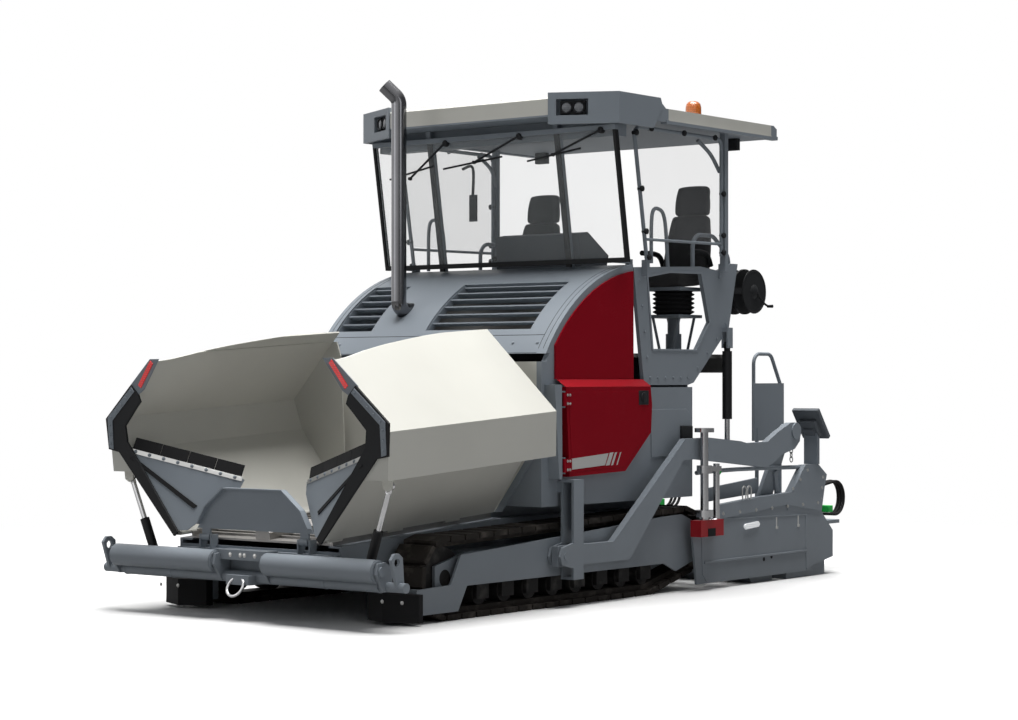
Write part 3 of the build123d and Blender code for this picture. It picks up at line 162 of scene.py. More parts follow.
def paint(name, colour, rough=0.38, dust=0.25, masks=(), specular=0.22):
    """Factory paint: faint mottling, orange peel, and dust low down.

    Each mask is (test, colour, metallic, roughness): where test(finish) is 1, that coat covers the first."""
    finish = Finish(name)
    cloud, grain = finish.noise(1.7), finish.noise(160, 2)
    base = finish.blend(cloud, shade(colour, 0.94), shade(colour, 1.06))
    gloss, metallic = rough + cloud * 0.06, None
    for test, other, shine, other_rough in masks:
        where = test(finish)
        base = finish.blend(where, base, finish.blend(cloud, shade(other, 0.94), shade(other, 1.06)))
        gloss = gloss + where * (other_rough - rough)
        metallic = where * shine if metallic is None else metallic + where * shine
    low = 1 - finish.node("MapRange", None, finish.axis("Z"), 0.0, 0.9)
    dirt = low * finish.noise(6, 6) * dust
    base = finish.blend(dirt, base, (0.16, 0.145, 0.125))
    coat = {"Specular_IOR_Level": specular}
    if metallic is not None:
        coat["Metallic"] = metallic
    return finish.surface(base, gloss + grain * 0.03 + dirt * 0.5, grain, 0.0004, 0.12, **coat)


def metal(name, colour, rough):
    """Bare or plated metal with fine scratches."""
    finish = Finish(name)
    cloud, lines = finish.noise(5, 4), finish.noise(60, 4, (1, 6, 1))
    base = finish.blend(cloud, shade(colour, 0.8), shade(colour, 1.15))
    return finish.surface(base, rough + lines * 0.14 + cloud * 0.06, lines, 0.0004, 0.15, Metallic=1.0)


def cast(name, colour, worn):
    """Dark cast or forged steel, rubbed brighter in places."""
    finish = Finish(name)
    pits, rub = finish.noise(90, 5), finish.noise(9, 5)
    base = finish.blend(finish.node("MapRange", None, rub, 0.52, 0.72), colour, worn)
    return finish.surface(base, 0.55 + pits * 0.2, pits, 0.0012, 0.35, Metallic=0.55)


def soft(name, colour, rough=0.72, scale=300, depth=0.0008):
    """Rubber, moulded plastic and hose skin."""
    finish = Finish(name)
    grain, cloud = finish.noise(scale, 3), finish.noise(4)
    base = finish.blend(cloud, shade(colour, 0.8), shade(colour, 1.3))
    return finish.surface(base, rough + grain * 0.12, grain, depth, 0.25, Specular_IOR_Level=0.2)


def cloth(name, colour):
    """Woven seat cover."""
    finish = Finish(name)
    threads = 900            # radians of the weave's waves a metre
    wave = (finish.axis("Y") * threads).math("SINE") * (finish.axis("Z") * threads).math("SINE")
    cloud = finish.noise(7, 4)
    base = finish.blend(wave * 0.25 + cloud * 0.6, shade(colour, 0.7), shade(colour, 1.5))
    return finish.surface(base, 0.85 + cloud * 0.08, wave, 0.0006, 0.3, Sheen_Weight=0.2, Sheen_Roughness=0.5)


def clear(name, colour, base_alpha, gloss):
    """Window glass: see-through face on, and at a slant more opaque in its pale colour, which is a painted
    reflection.
    """
    finish = Finish(name)
    rim = finish.node("Fresnel", None, IOR=1.45)
    smear = finish.noise(3, 4)
    # Fresnel into alpha: at a slant the pane shows its pale base colour, a painted reflection
    return finish.surface(colour, 0.03 + smear * 0.03, Alpha=rim * gloss + base_alpha + smear * 0.02,
                          Specular_IOR_Level=0.8)


def lens(name, colour, glow):
    """Ribbed lamp glass or reflector that shines a little by itself; on a reflector, which is no lamp, the glow is a
    painted highlight.
    """
    finish = Finish(name)
    ribs = (finish.axis("Z") * 420).math("SINE")
    base = finish.blend(ribs * 0.5 + 0.5, shade(colour, 0.85), shade(colour, 1.1))
    return finish.surface(base, 0.12 + finish.noise(40) * 0.05, ribs, 0.0015, 0.4, Coat_Weight=0.6,
                          Emission_Color=base, Emission_Strength=glow)


GREY, CREAM, RED = (0.240, 0.270, 0.304), (0.60, 0.595, 0.55), (0.27, 0.0035, 0.012)
# the second red is the clamps' own bright red, and on the door ledges a painted highlight: a lighter copy of the
# doors' red
BLACK, BRIGHT_AND_PAINTED_LIT_RED = (0.012, 0.0125, 0.014), (0.36, 0.008, 0.016)

# places the masks and the trim share, in metres
TILT = radians(3.6)                                # of the hopper
HOPPER_X, HOPPER_Z = 3.320, 0.575                  # origin of the axes that tilt with it
FLAP_TOP, FLAP_LEAN = Vector((-0.006, 1.184, 0.604)), radians(31)      # top of the left flap's fold, in those axes
GLASS_X, GLASS_Z, GLASS_LEAN = 0.387, 2.6, 0.1615  # windscreen: a place on its outer face, and lean a metre
CAB_FRONT_X = 0.405                                # of the cab frame, at the height GLASS_Z
HOOD_X, HOOD_Z, HOOD_RADIUS = 0.034, 1.040, 1.5512  # axis and radius of the hood's curved front
SEAT_X, SEAT_Y = -0.900, 0.780                     # middle of the left seat's base


def in_hopper(finish):
    """Inside of the hopper's rear wall."""
    slope = 0.72 + (finish.axis("Z") - 0.70) * 0.744
    return (finish.axis("X") > 1.389) * (finish.across() < slope)


def on_flap(finish):
    """Behind the rubber edging, on the flap that leans back from it."""
    along = (finish.axis("X") - HOPPER_X) * cos(TILT) - (finish.axis("Z") - HOPPER_Z) * sin(TILT)
    return along < -0.0203


def on_roof_trim(finish):
    """Front corners, rear end and underside of the roof."""
    x, z = finish.axis("X"), finish.axis("Z")
    corner = (x > -0.075) * (finish.across() > 0.8035)
    return corner.math("MAXIMUM", z < 3.7125).math("MAXIMUM", x < -1.60)


def on_glass_edge(finish):
    """Parts of the cab frame that touch the windscreen."""
    x, z = finish.axis("X"), finish.axis("Z")
    return (x - CAB_FRONT_X - (z - GLASS_Z) * GLASS_LEAN > -0.0452) * (z < 3.599)


def on_ring(finish):
    """Bright ring at the middle of the push beam."""
    return (finish.axis("X") > 3.3955) * (finish.across() < 0.12)


def at_end_gate(finish):
    """Outer front end of the extension's controls."""
    return (finish.across() > 1.2385) * (finish.axis("X") > -0.731)


def on_spindle(finish):
    return at_end_gate(finish) * (finish.axis("Z") > 0.5665)


def on_clamp(finish):
    return at_end_gate(finish) * (finish.axis("Z") < 0.5665)


def make_finishes():
    chrome = (0.62, 0.62, 0.63)
    return {
        "grey": paint("paint_grey", GREY, 0.34),
        "bulkheads": paint("paint_bulkheads", GREY, 0.34, masks=[(in_hopper, CREAM, 0, 0.42)]),
        "lips": paint("edging_rubber_and_flap", BLACK, 0.6, masks=[(on_flap, GREY, 0, 0.36)]),
        "roof": paint("paint_roof", CREAM, 0.4, masks=[(on_roof_trim, GREY, 0, 0.36)]),
        "cab": paint("paint_cab", GREY, 0.36, masks=[(on_glass_edge, BLACK, 0, 0.4)]),
        "beam": paint("paint_beam", GREY, 0.36, masks=[(on_ring, chrome, 1, 0.12)]),
        "controls": paint("paint_controls", GREY, 0.36,
                          masks=[(on_spindle, chrome, 1, 0.14), (on_clamp, BRIGHT_AND_PAINTED_LIT_RED, 0, 0.3)]),
        "cream": paint("paint_cream", CREAM, 0.40),
        "red": paint("paint_red", RED, 0.22, 0.1, specular=0.06),
        # lighter copy of the doors' red: a painted highlight on the door ledges
        "painted_lit_red": paint("paint_painted_lit_red", BRIGHT_AND_PAINTED_LIT_RED, 0.3, specular=0.1),
        "black": paint("paint_black", BLACK, 0.42, 0.1),
        "track": cast("cast_track", (0.022, 0.018, 0.015), (0.085, 0.074, 0.065)),
        "roller": cast("roller_iron", (0.022, 0.021, 0.021), (0.07, 0.066, 0.062)),
        "worn": metal("worn_steel", (0.30, 0.29, 0.28), 0.35),
        "steel": metal("bright_steel", (0.55, 0.55, 0.54), 0.26),
        "dark_chrome": metal("dark_chrome", (0.20, 0.20, 0.21), 0.08),
        "chrome": metal("chrome", (0.70, 0.70, 0.71), 0.08),
        "rubber": soft("rubber", (0.012, 0.012, 0.013)),
        "plastic": soft("moulded_plastic", (0.11, 0.122, 0.136), 0.5, 500, 0.0004),
        "dark_plastic": soft("dark_plastic", (0.018, 0.019, 0.021), 0.45, 500, 0.0004),
        "cloth": cloth("seat_cloth", (0.030, 0.030, 0.032)),
        "glass": clear("clear_glass", (0.90, 0.94, 0.95), 0.045, 0.75),
        "tinted": clear("tinted_glass", (0.40, 0.41, 0.42), 0.085, 0.03),
        "amber": lens("amber_lens", (0.42, 0.10, 0.008), 0.05),
        "lamp": lens("lamp_lens", (0.16, 0.17, 0.19), 0.0),
        "white_lamp": lens("white_lens", (0.82, 0.84, 0.86), 0.35),
        # the reflector is no lamp: its glow is a painted highlight
        "reflector": lens("red_reflector", (0.75, 0.03, 0.03), 0.25),
        "plate": paint("plate_pale", (0.52, 0.52, 0.51), 0.4, 0.0),
        "green": soft("green_knob", (0.02, 0.42, 0.07), 0.35),
    }


# finish: the CAD nodes that have it; a star stands for left and for right
NODE_FINISHES = {
    "grey": "chassis_frame track_frame_* engine_hood body_side_* platform_panel_* side_window_frames "
            "handrails tow_posts push_roller_* hopper_apron tow_arms screed_body screed_extension_*",
    "bulkheads": "body_bulkheads",
    "beam": "push_beam",
    "lips": "wing_lip_*",
    "cab": "cab_frame",
    "roof": "canopy_roof",
    "controls": "extension_controls_*",
    "cream": "hopper_wing_*",
    "red": "upper_panels service_door_*",
    "black": "engine hose_reel wing_cylinder_barrel_* lift_cylinder_barrel_*",
    "chrome": "wing_cylinder_rod_* lift_cylinder_rod_*",
    "dark_chrome": "exhaust_stack",
    "track": "track_*",
    "roller": "track_wheels",
    "worn": "hopper_floor platform_deck auger_*",
    "rubber": "wear_blocks seat_bases extension_hoses_*",
    "cloth": "seat_*",
    "plastic": "control_console",
    "glass": "front_glass",
    "amber": "beacon",
    "lamp": "work_lamps",
}
FINISHES = {}            # name: material, once the finishes are made
SIDES = (("left", 1), ("right", -1))
FORWARD, OUTWARD, UP = (1, 0, 0), (0, 1, 0), (0, 0, 1)


# ---------------------------------------------------------------- mesh building

def add(name, data, finish=None, body=None):
    """A new object in the scene, with a finish and on a body where these are named."""
    piece = bpy.data.objects.new(name, data)
    bpy.context.scene.collection.objects.link(piece)
    if finish:
        data.materials.append(FINISHES[finish])
    if body:
        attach(piece, body)
    return piece


def smooth_by_angle(mesh, degrees=35):
    bm = bmesh.new()
    bm.from_mesh(mesh)
    for face in bm.faces:
        face.smooth = True
    for edge in bm.edges:
        edge.smooth = len(edge.link_faces) == 2 and edge.calc_face_angle(0) < radians(degrees)
    bm.to_mesh(mesh)
    bm.free()


def circle(middle, first, second, radius, count):
    """Points of a circle that starts at the first direction and turns to the second."""
    turns = [2 * pi * k / count for k in range(count)]
    return [middle + (first * cos(turn) + second * sin(turn)) * radius for turn in turns]


class Shape:
    """Collects the boxes, loops, rods and tubes of one piece, in metres in the frame.

    Places and directions are given for the left; with side -1 they are mirrored to the right.
    A piece that is started for one side is named after it."""

    def __init__(self, side=None):
        self.bm = bmesh.new()
        self.side = side or 1
        self.suffix = {None: "", 1: "_left", -1: "_right"}[side]

    def on(self, side):
        self.side = side
        return self

    def mirror(self, place):
        return Vector((place[0], place[1] * self.side, place[2]))

    def take(self, verts, faces):
        made = [self.bm.verts.new(v) for v in verts]
        for face in faces:
            self.bm.faces.new([made[i] for i in face])
        return self

    def box(self, low, high, turn=None, centre=None):
        corners = [self.mirror((x, y, z)) for x in (low[0], high[0]) for y in (low[1], high[1])
                   for z in (low[2], high[2])]
        if turn is not None:
            corners = [centre + turn @ (corner - centre) for corner in corners]
        return self.take(corners, [(0, 1, 3, 2), (4, 6, 7, 5), (0, 4, 5, 1),
                                   (2, 3, 7, 6), (0, 2, 6, 4), (1, 5, 7, 3)])

    def rings(self, rings, closed=False):
        """Skin over a row of loops; closed joins the last to the first, else both ends are capped."""
        return self.skin([[self.mirror(place) for place in ring] for ring in rings], closed)

    def skin(self, rings, closed=False):
        count = len(rings[0])
        faces = []
        for i in range(len(rings) if closed else len(rings) - 1):
            j = (i + 1) % len(rings)
            for k in range(count):
                m = (k + 1) % count
                faces.append((i * count + k, i * count + m, j * count + m, j * count + k))
        if not closed:
            faces.append(tuple(reversed(range(count))))
            faces.append(tuple((len(rings) - 1) * count + k for k in range(count)))
        return self.take([v for ring in rings for v in ring], faces)

    def turned(self, start, axis, profile, sides=24):
        """Revolves (along, radius) pairs about an axis from start."""
        start, axis = self.mirror(start), self.mirror(axis).normalized()
        first = axis.orthogonal().normalized()
        second = axis.cross(first)
        return self.skin([circle(start + axis * along, first, second, max(radius, 1e-4), sides)
                          for along, radius in profile])

    def rod(self, a, b, radius, sides=20):
        a, b = Vector(a), Vector(b)
        return self.turned(a, b - a, [(0, radius), ((b - a).length, radius)], sides)

    def bolt(self, at, axis, radius=0.011, height=0.008):
        """Flanged hexagon head."""
        wide = radius * 1.35
        self.turned(at, axis, [(-0.001, wide), (height * 0.25, wide), (height * 0.3, radius * 1.1)], 16)
        return self.turned(at, axis, [(0, radius), (height * 0.85, radius), (height, radius * 0.8)], 6)

    def bolts(self, start, end, count, axis, radius=0.011):
        """A straight row of bolts, from start to end."""
        for i in range(count):
            self.bolt(Vector(start).lerp(end, i / (count - 1)), axis, radius)
        return self

    def tube(self, points, radius, sides=12, per=6):
        """Round tube along a smooth line through the points, in so many steps from each to the next."""
        points = [self.mirror(point) for point in points]
        line = []
        for i in range(len(points) - 1):
            p0, p1 = points[max(i - 1, 0)], points[i]
            p2, p3 = points[i + 1], points[min(i + 2, len(points) - 1)]
            for k in range(per):
                t = k / per
                line.append(0.5 * ((2 * p1) + (p2 - p0) * t + (2 * p0 - 5 * p1 + 4 * p2 - p3) * t * t
                                   + (3 * p1 - p0 - 3 * p2 + p3) * t ** 3))
        line.append(points[-1])
        rings, first = [], None
        for i, point in enumerate(line):
            heading = (line[min(i + 1, len(line) - 1)] - line[max(i - 1, 0)]).normalized()
            first = heading.orthogonal() if first is None else first - heading * first.dot(heading)
            first.normalize()
            rings.append(circle(point, first, heading.cross(first), radius, sides))
        return self.skin(rings)

    def prism(self, outline, low, high):
        """Extrudes an (x, z) outline across the machine."""
        return self.rings([[(x, y, z) for x, z in outline] for y in (low, high)])

    def done(self, name, finish, body, bevel=0.0):
        bmesh.ops.remove_doubles(self.bm, verts=self.bm.verts, dist=1e-6)
        bmesh.ops.recalc_face_normals(self.bm, faces=self.bm.faces)
        mesh = bpy.data.meshes.new(name + self.suffix)
        self.bm.to_mesh(mesh)
        self.bm.free()
        smooth_by_angle(mesh)
        piece = add(mesh.name, mesh, finish, body)
        if bevel:
            modifier = piece.modifiers.new("edges", "BEVEL")
            modifier.width, modifier.segments, modifier.limit_method = bevel, 2, "ANGLE"
            modifier.angle_limit = radians(35)
        return piece


# ---------------------------------------------------------------- settings

def angle_setting(name, text, degrees):
    return bpy.props.FloatProperty(name=name, description=text, default=radians(degrees),
                                   unit="ROTATION", subtype="ANGLE")


class PaverView(bpy.types.PropertyGroup):
    place: bpy.props.FloatVectorProperty(name="Camera", description="Where the camera stands",
                                         default=(15.075, 11.539, 1.711), subtype="TRANSLATION", unit="LENGTH")
    heading: angle_setting("Heading", "Compass angle of the view, from +X", 218)
    pitch: angle_setting("Pitch", "Angle of the view above the horizon", 0.4)
    lens: bpy.props.FloatProperty(name="Lens", description="Focal length in millimetres", default=82.4)


# ---------------------------------------------------------------- operators

class PaverOperator(bpy.types.Operator):
    bl_options = {"REGISTER", "UNDO"}

    def __init_subclass__(cls):
        cls.bl_idname = "paver." + cls.__name__.removeprefix("PAVER_OT_")

    def execute(self, context):
        self.build(context.scene)
        return {"FINISHED"}


class PAVER_OT_stage(PaverOperator):
    """Floor, backdrop, lamps and camera."""
    bl_label = "Stage"

    # name, place, aimed at, size in metres, watts, colour
    LAMPS = (("top", (-0.3, 0.0, 20.0), (-0.3, 0, 0), 14.0, 8200, (1, 0.995, 0.985)),
             ("side", (6.0, 12.0, 6.0), (0, 0, 1.4), 5.0, 100, (0.97, 0.985, 1)),
             ("front", (12.0, -6.0, 5.0), (0, 0, 1.0), 5.0, 90, (0.97, 0.985, 1)))
    FLOOR_REACH, FLOOR_Z = 90, -0.002

    def build(self, scene):
        view = scene.paver_view
        scene.view_settings.view_transform = "Standard"
        camera = scene.camera = add("camera", bpy.data.cameras.new("camera"))
        camera.data.lens, camera.data.sensor_width = view.lens, 36
        camera.data.clip_end = 200
        camera.location = view.place
        camera.rotation_euler = (radians(90) + view.pitch, 0, view.heading - radians(90))
        self.floor()
        self.world(scene)
        for name, place, target, size, power, colour in self.LAMPS:
            lamp = bpy.data.lights.new(name, "AREA")
            lamp.size, lamp.energy, lamp.color = size, power, colour
            holder = add(name, lamp)
            holder.location = place
            holder.rotation_euler = (Vector(target) - Vector(place)).to_track_quat("-Z", "Y").to_euler()

    def floor(self):
        """Plain floor that brightens to pure white away from the machine; to all rays but the camera's it is dark
        grey, which paints shade on the machine's undersides.
        """
        mesh = bpy.data.meshes.new("floor")
        mesh.from_pydata([(x * self.FLOOR_REACH, y * self.FLOOR_REACH, self.FLOOR_Z)
                          for x, y in ((-1, -1), (1, -1), (1, 1), (-1, 1))], [], [(0, 1, 2, 3)])
        finish = Finish("floor_white")
        ray = Value(finish, finish.raw("LightPath").outputs["Is Camera Ray"])
        # pale to the camera, dark grey to bounced light: painted shade under the machine
        finish.surface(finish.blend(ray, (0.26, 0.26, 0.26), (0.86, 0.86, 0.86)), 0.6 + finish.noise(2) * 0.05)
        shader = next(n for n in finish.tree.nodes if n.type == "BSDF_PRINCIPLED")
        out = next(n for n in finish.tree.nodes if n.type == "OUTPUT_MATERIAL")
        glow = finish.raw("Emission", None, (1, 1, 1), 1.0)
        far = finish.raw("VectorMath", {"operation": "LENGTH"}, finish.place).outputs["Value"]
        edge = finish.node("MapRange", {"interpolation_type": "SMOOTHSTEP"}, far, 4.0, 9.5)
        mix = finish.raw("MixShader", None, edge * ray, shader.outputs[0], glow.outputs[0])
        finish.feed(out.inputs[0], mix.outputs[0])
        mesh.materials.append(finish.material)
        add("floor", mesh)

    def world(self, scene):
        """White behind, dim as a light; what shines sees white above and in front, and dark behind."""
        scene.world = bpy.data.worlds.new("studio")
        sky = Tree(scene.world)
        add = {"operation": "ADD", "use_clamp": True}
        path = sky.raw("LightPath").outputs
        heading = sky.raw("TexCoord").outputs["Generated"]
        facing = sky.raw("VectorMath", {"operation": "DOT_PRODUCT"}, heading, (0.35, -0.45, 0.80))
        lit = sky.node("MapRange", {"interpolation_type": "SMOOTHSTEP"}, facing.outputs["Value"],
                       -0.15, 0.45, 0.06, 1.0)
        seen = sky.node("Math", add, path["Is Camera Ray"], path["Is Transmission Ray"])
        white = sky.node("Math", add, seen, lit * path["Is Glossy Ray"])
        plain = sky.raw("Background", None, (0.86, 0.90, 0.95), 0.11)
        bright = sky.raw("Background", None, (1, 1, 1), 1.0)
        mix = sky.raw("MixShader", None, white, plain.outputs[0], bright.outputs[0])
        sky.raw("OutputWorld", None, mix.outputs[0])


class PAVER_OT_finishes(PaverOperator):
    """A finish on every CAD node."""
    bl_label = "Finishes"

    def build(self, scene):
        FINISHES.update(make_finishes())
        for finish, patterns in NODE_FINISHES.items():
            for pattern in patterns.split():
                for side, _ in SIDES:
                    slots = NODES[pattern.replace("*", side)].data.materials
                    slots.clear()
                    slots.append(FINISHES[finish])


# ---------------------------------------------------------------- places

def hopper(x, y, z):
    """A place in the frame, from one in axes that tilt with the hopper about its front edge."""
    return (HOPPER_X + x * cos(TILT) + z * sin(TILT), y, HOPPER_Z - x * sin(TILT) + z * cos(TILT))


def flap(run, reach, lift=0.0):
    """A place on the left hopper flap: down its fold, towards the middle, and off its front face."""
    down = Vector((0, -0.613, -0.790))
    inward = Vector((-sin(FLAP_LEAN), -0.790 * cos(FLAP_LEAN), 0.613 * cos(FLAP_LEAN)))
    return hopper(*FLAP_TOP + down * run + inward * reach + inward.cross(down) * lift)


def wing_plate(outline, *layers):
    """Loops of a (y, z) outline in the hopper's axes, one at each x."""
    return [[hopper(x, y, z) for y, z in outline] for x in layers]


def flap_plate(outline, *layers):
    """Loops of a (run, reach) outline on the flap, one at each lift."""
    return [[flap(run, reach, lift) for run, reach in outline] for lift in layers]


def glass(y, z, out=0.0):
    """A place on the windscreen's outer face, or in front of it."""
    return (GLASS_X + (z - GLASS_Z) * GLASS_LEAN + out, y, z)


def hood(angle, y, rise=0.0):
    """A place on the hood's curved front, or over it."""
    reach = HOOD_RADIUS + rise
    return (HOOD_X + reach * cos(angle), y, HOOD_Z + reach * sin(angle))


# ---------------------------------------------------------------- canopy

class PAVER_OT_roof_trim(PaverOperator):
    """Corner lamps, rear lamps and the beacon."""
    bl_label = "Roof lamps and beacon"

    BEACON = (-1.530, 0.560, 3.806)      # on the roof, under the beacon

    def build(self, scene):
        housings, lenses = Shape(), Shape()
        for side in (1, -1):
            # two round lamps that look outwards over each front corner
            face, out = Vector((0.7697, 0.9726 * side, 3.768)), Vector((0.8934, 0.4493 * side, 0))
            across = Vector((-out.y, out.x, 0))
            turn = Matrix((out, across, UP)).transposed()
            back = face - out * 0.0685
            housings.box(back - Vector((0, 0.098, 0.052)), back + Vector((0.030, 0.098, 0.052)), turn, back)
            for shift in (0.048, -0.048):
                eye = face - out * 0.040 + across * shift
                housings.turned(eye, out, [(0, 0.047), (0.026, 0.047), (0.028, 0.043), (0.012, 0.038)])
                lenses.turned(eye + out * 0.004, out, [(0, 0.040), (0.012, 0.039), (0.019, 0.028), (0.021, 0.0)])
            # a flat lamp at each rear corner
            housings.box((-1.48, 0.94 * side, 3.602), (-1.425, 1.06 * side, 3.700))
            lenses.box((-1.484, 0.95 * side, 3.615), (-1.479, 1.05 * side, 3.688))
        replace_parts(housings.done("work_lamp_housings", "dark_plastic", "chassis", 0.006), "work_lamps")
        lenses.done("work_lamp_lenses", "lamp", "chassis", 0.002)
        Shape().turned(self.BEACON, UP, [(0, 0.062), (0.020, 0.062), (0.026, 0.045), (0.105, 0.045), (0.112, 0.070),
                                         (0.128, 0.070), (0.132, 0.064)],
                       32).done("beacon_base", "dark_plastic", "chassis")
        dome = Shape().turned(self.BEACON, UP, [(0.129, 0.064), (0.135, 0.068), (0.195, 0.067), (0.225, 0.060),
                                                (0.243, 0.042), (0.249, 0.020), (0.250, 0.0)], 32)
        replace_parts(dome.done("beacon_dome", "amber", "chassis"), "beacon")


class PAVER_OT_windows(PaverOperator):
    """Wipers, side panes, window knobs, grab bars and the mirror."""
    bl_label = "Windows"

    PANE_Y = 1.190
    PANE = [(0.084, 2.63), (0.259, 3.635), (-0.975, 3.635), (-0.975, 2.80), (0.10, 2.80)]
    KNOBS = [(0.256, 3.60), (0.180, 3.17), (0.121, 2.84), (0.082, 2.64), (0.05, 3.648), (-0.41, 3.648),
             (-0.86, 3.648), (-0.989, 3.20), (-0.989, 2.86), (-0.989, 2.72)]
    # of each wiper: pivot, arm's far end and blade's two ends, each as (y, z)
    WIPERS = (((-0.449, 3.592), (-0.856, 3.33), (-1.08, 3.335), (-0.60, 3.42)),
              ((0.304, 3.600), (-0.17, 3.425), (-0.50, 3.39), (0.11, 3.455)),
              ((1.098, 3.600), (0.62, 3.44), (0.36, 3.405), (0.885, 3.475)))

    def build(self, scene):
        wipers, panes, knobs, bars = Shape(), Shape(), Shape(), Shape()
        for pivot, end, first, last in self.WIPERS:
            wipers.turned(glass(*pivot, -0.002), FORWARD, [(0, 0.026), (0.030, 0.026), (0.036, 0.020)], 20)
            wipers.tube([glass(*pivot, 0.030), glass(*end, 0.024)], 0.009, 10, 1)
            wipers.tube([glass(*first, 0.014), glass(*last, 0.014)], 0.008, 10, 1)
            wipers.rod(glass(*end, 0.010), glass(*end, 0.034), 0.014, 12)
        wipers.done("wipers", "dark_plastic", "chassis")
        bar_y = self.PANE_Y * 0.96
        for _, side in SIDES:
            panes.on(side).prism(self.PANE, self.PANE_Y - 0.004, self.PANE_Y)
            for x, z in self.KNOBS:
                knobs.on(side).turned((x, self.PANE_Y - 0.012, z), OUTWARD, [
                    (0, 0.016), (0.030, 0.016), (0.032, 0.024), (0.044, 0.024), (0.050, 0.016)], 14)
            bars.on(side).tube([(-0.05, bar_y, 2.60), (-0.06, bar_y, 2.98), (-0.16, bar_y, 3.03),
                                (-0.24, bar_y, 2.94), (-0.28, bar_y, 2.58)], 0.015)
            bars.tube([(-0.72, self.PANE_Y * 0.955, 3.62), (-0.90, bar_y, 3.52), (-1.0, self.PANE_Y * 0.98, 3.38)],
                      0.016)
        panes.done("side_panes", "tinted", "chassis")
        knobs.done("window_knobs", "dark_plastic", "chassis")
        bars.done("grab_bars", "grey", "chassis")
        mirror = Shape().tube([(0.16, -0.60, 3.42), (0.20, -0.46, 3.42), (0.20, -0.46, 3.18)], 0.012)
        mirror.box((0.185, -0.50, 2.98), (0.20, -0.42, 3.20)).done("cab_mirror", "dark_plastic", "chassis", 0.004)


# ---------------------------------------------------------------- hopper

class PAVER_OT_hopper_trim(PaverOperator):
    """Strips, corner plates and reflectors on the wings, and the rubbers clamped to their flaps."""
    bl_label = "Hopper trim"

    # outlines in the hopper's axes, (y, z): strips along the edging, corner plate, reflector
    STRIPS = ([(1.088, 1.058), (1.352, 0.832), (1.304, 0.812), (1.058, 1.026)],
              [(1.352, 0.832), (1.350, 0.612), (1.306, 0.600), (1.304, 0.812)])
    STRIP_BOLTS = (((1.090, 1.026), (1.310, 0.836), 5), ((1.328, 0.78), (1.328, 0.64), 3))
    CORNER = [(0.800, 1.262), (0.893, 1.262), (1.112, 1.070), (1.040, 0.996), (0.968, 1.040)]
    REFLECTOR = [(0.858, 1.229), (0.886, 1.251), (1.024, 1.073), (0.996, 1.051)]
    # outlines on the flap, (run, reach)
    CLAMP = [(0.010, 0.030), (0.700, 0.640), (0.722, 0.616), (0.034, 0.006)]
    BAR = [(0.075, 0.020), (0.690, 0.250), (0.690, 0.215), (0.085, -0.006)]
    RUBBERS, RUBBER_PITCH, RUBBER_LENGTH, RUBBER_WIDTH = 4, 0.24, 0.236, 0.058
    CLAMP_BOLTS = 8

    def build(self, scene):
        for name, side in SIDES:
            body = "wing_" + name
            strip, bolts = Shape(side), Shape(side)
            for outline in self.STRIPS:
                strip.rings(wing_plate(outline, -0.0025, 0.004))
            strip.done("lip_strip", "grey", body, 0.001)
            for start, end, count in self.STRIP_BOLTS:
                bolts.bolts(hopper(0.004, *start), hopper(0.004, *end), count, (cos(TILT), 0, -sin(TILT)), 0.008)
            Shape(side).rings(wing_plate(self.CORNER, -0.0198, -0.0125)).done("wing_corner", "grey", body, 0.001)
            reflector = Shape(side).rings(wing_plate(self.REFLECTOR, -0.0125, -0.006))
            reflector.done("wing_reflector", "reflector", body, 0.001)
            rubber = Shape(side)
            for i in range(self.RUBBERS):
                near = 0.03 + i * self.RUBBER_PITCH
                far = near + self.RUBBER_LENGTH
                corners = ((near, 0), (far, 0), (far, self.RUBBER_WIDTH), (near, self.RUBBER_WIDTH))
                rubber.rings(flap_plate([(0.010 + 0.690 * v - w, 0.030 + 0.610 * v + w * 1.13)
                                         for v, w in corners], -0.003, 0.003))
            rubber.done("flap_rubber", "rubber", body, 0.001)
            Shape(side).rings(flap_plate(self.BAR, 0.0042, 0.012)).done("flap_bar", "rubber", body, 0.002)
            clamp = Shape(side).rings(flap_plate(self.CLAMP, 0.0042, 0.008))
            clamp.rings(flap_plate(self.CLAMP, -0.008, -0.0042)).done("flap_clamp", "steel", body, 0.001)
            for i in range(self.CLAMP_BOLTS):
                t = (i + 0.5) / self.CLAMP_BOLTS
                run, reach = 0.022 + 0.688 * t, 0.018 + 0.610 * t
                lean = Vector(flap(run, reach, 1.0)) - Vector(flap(run, reach))
                bolts.bolt(flap(run, reach, 0.008), lean, 0.010)
            bolts.done("wing_bolts", "grey", body)


class PAVER_OT_beam_trim(PaverOperator):
    """End caps of the push rollers, and bolts on the beam and wear blocks."""
    bl_label = "Beam trim"

    ROLLER_X, ROLLER_Z = 3.352, 0.405
    CAP = [(-0.0005, 0.074), (0.004, 0.072), (0.005, 0.058), (0.001, 0.054), (0.001, 0.046), (0.007, 0.044),
           (0.008, 0.022), (0.003, 0.018)]

    def build(self, scene):
        for name, side in SIDES:
            caps = Shape(side)
            for y, out in ((0.252, -1), (1.268, 1)):
                caps.turned((self.ROLLER_X, y, self.ROLLER_Z), (0, out, 0), self.CAP, 32)
            caps.done("roller_caps", "grey", "push_roller_" + name)
            bolts = Shape(side)
            for y in (0.05 - 0.07, 0.05 + 0.07):
                bolts.bolt((3.3425, y, 0.455), FORWARD, 0.012)
            front, outer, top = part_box("wear_blocks")[1]
            for y in (outer - 0.06, outer - 0.24):
                bolts.bolt((front, y, top - 0.05), FORWARD, 0.010)
            bolts.done("beam_bolts", "steel", "chassis")


# ---------------------------------------------------------------- doors and panels

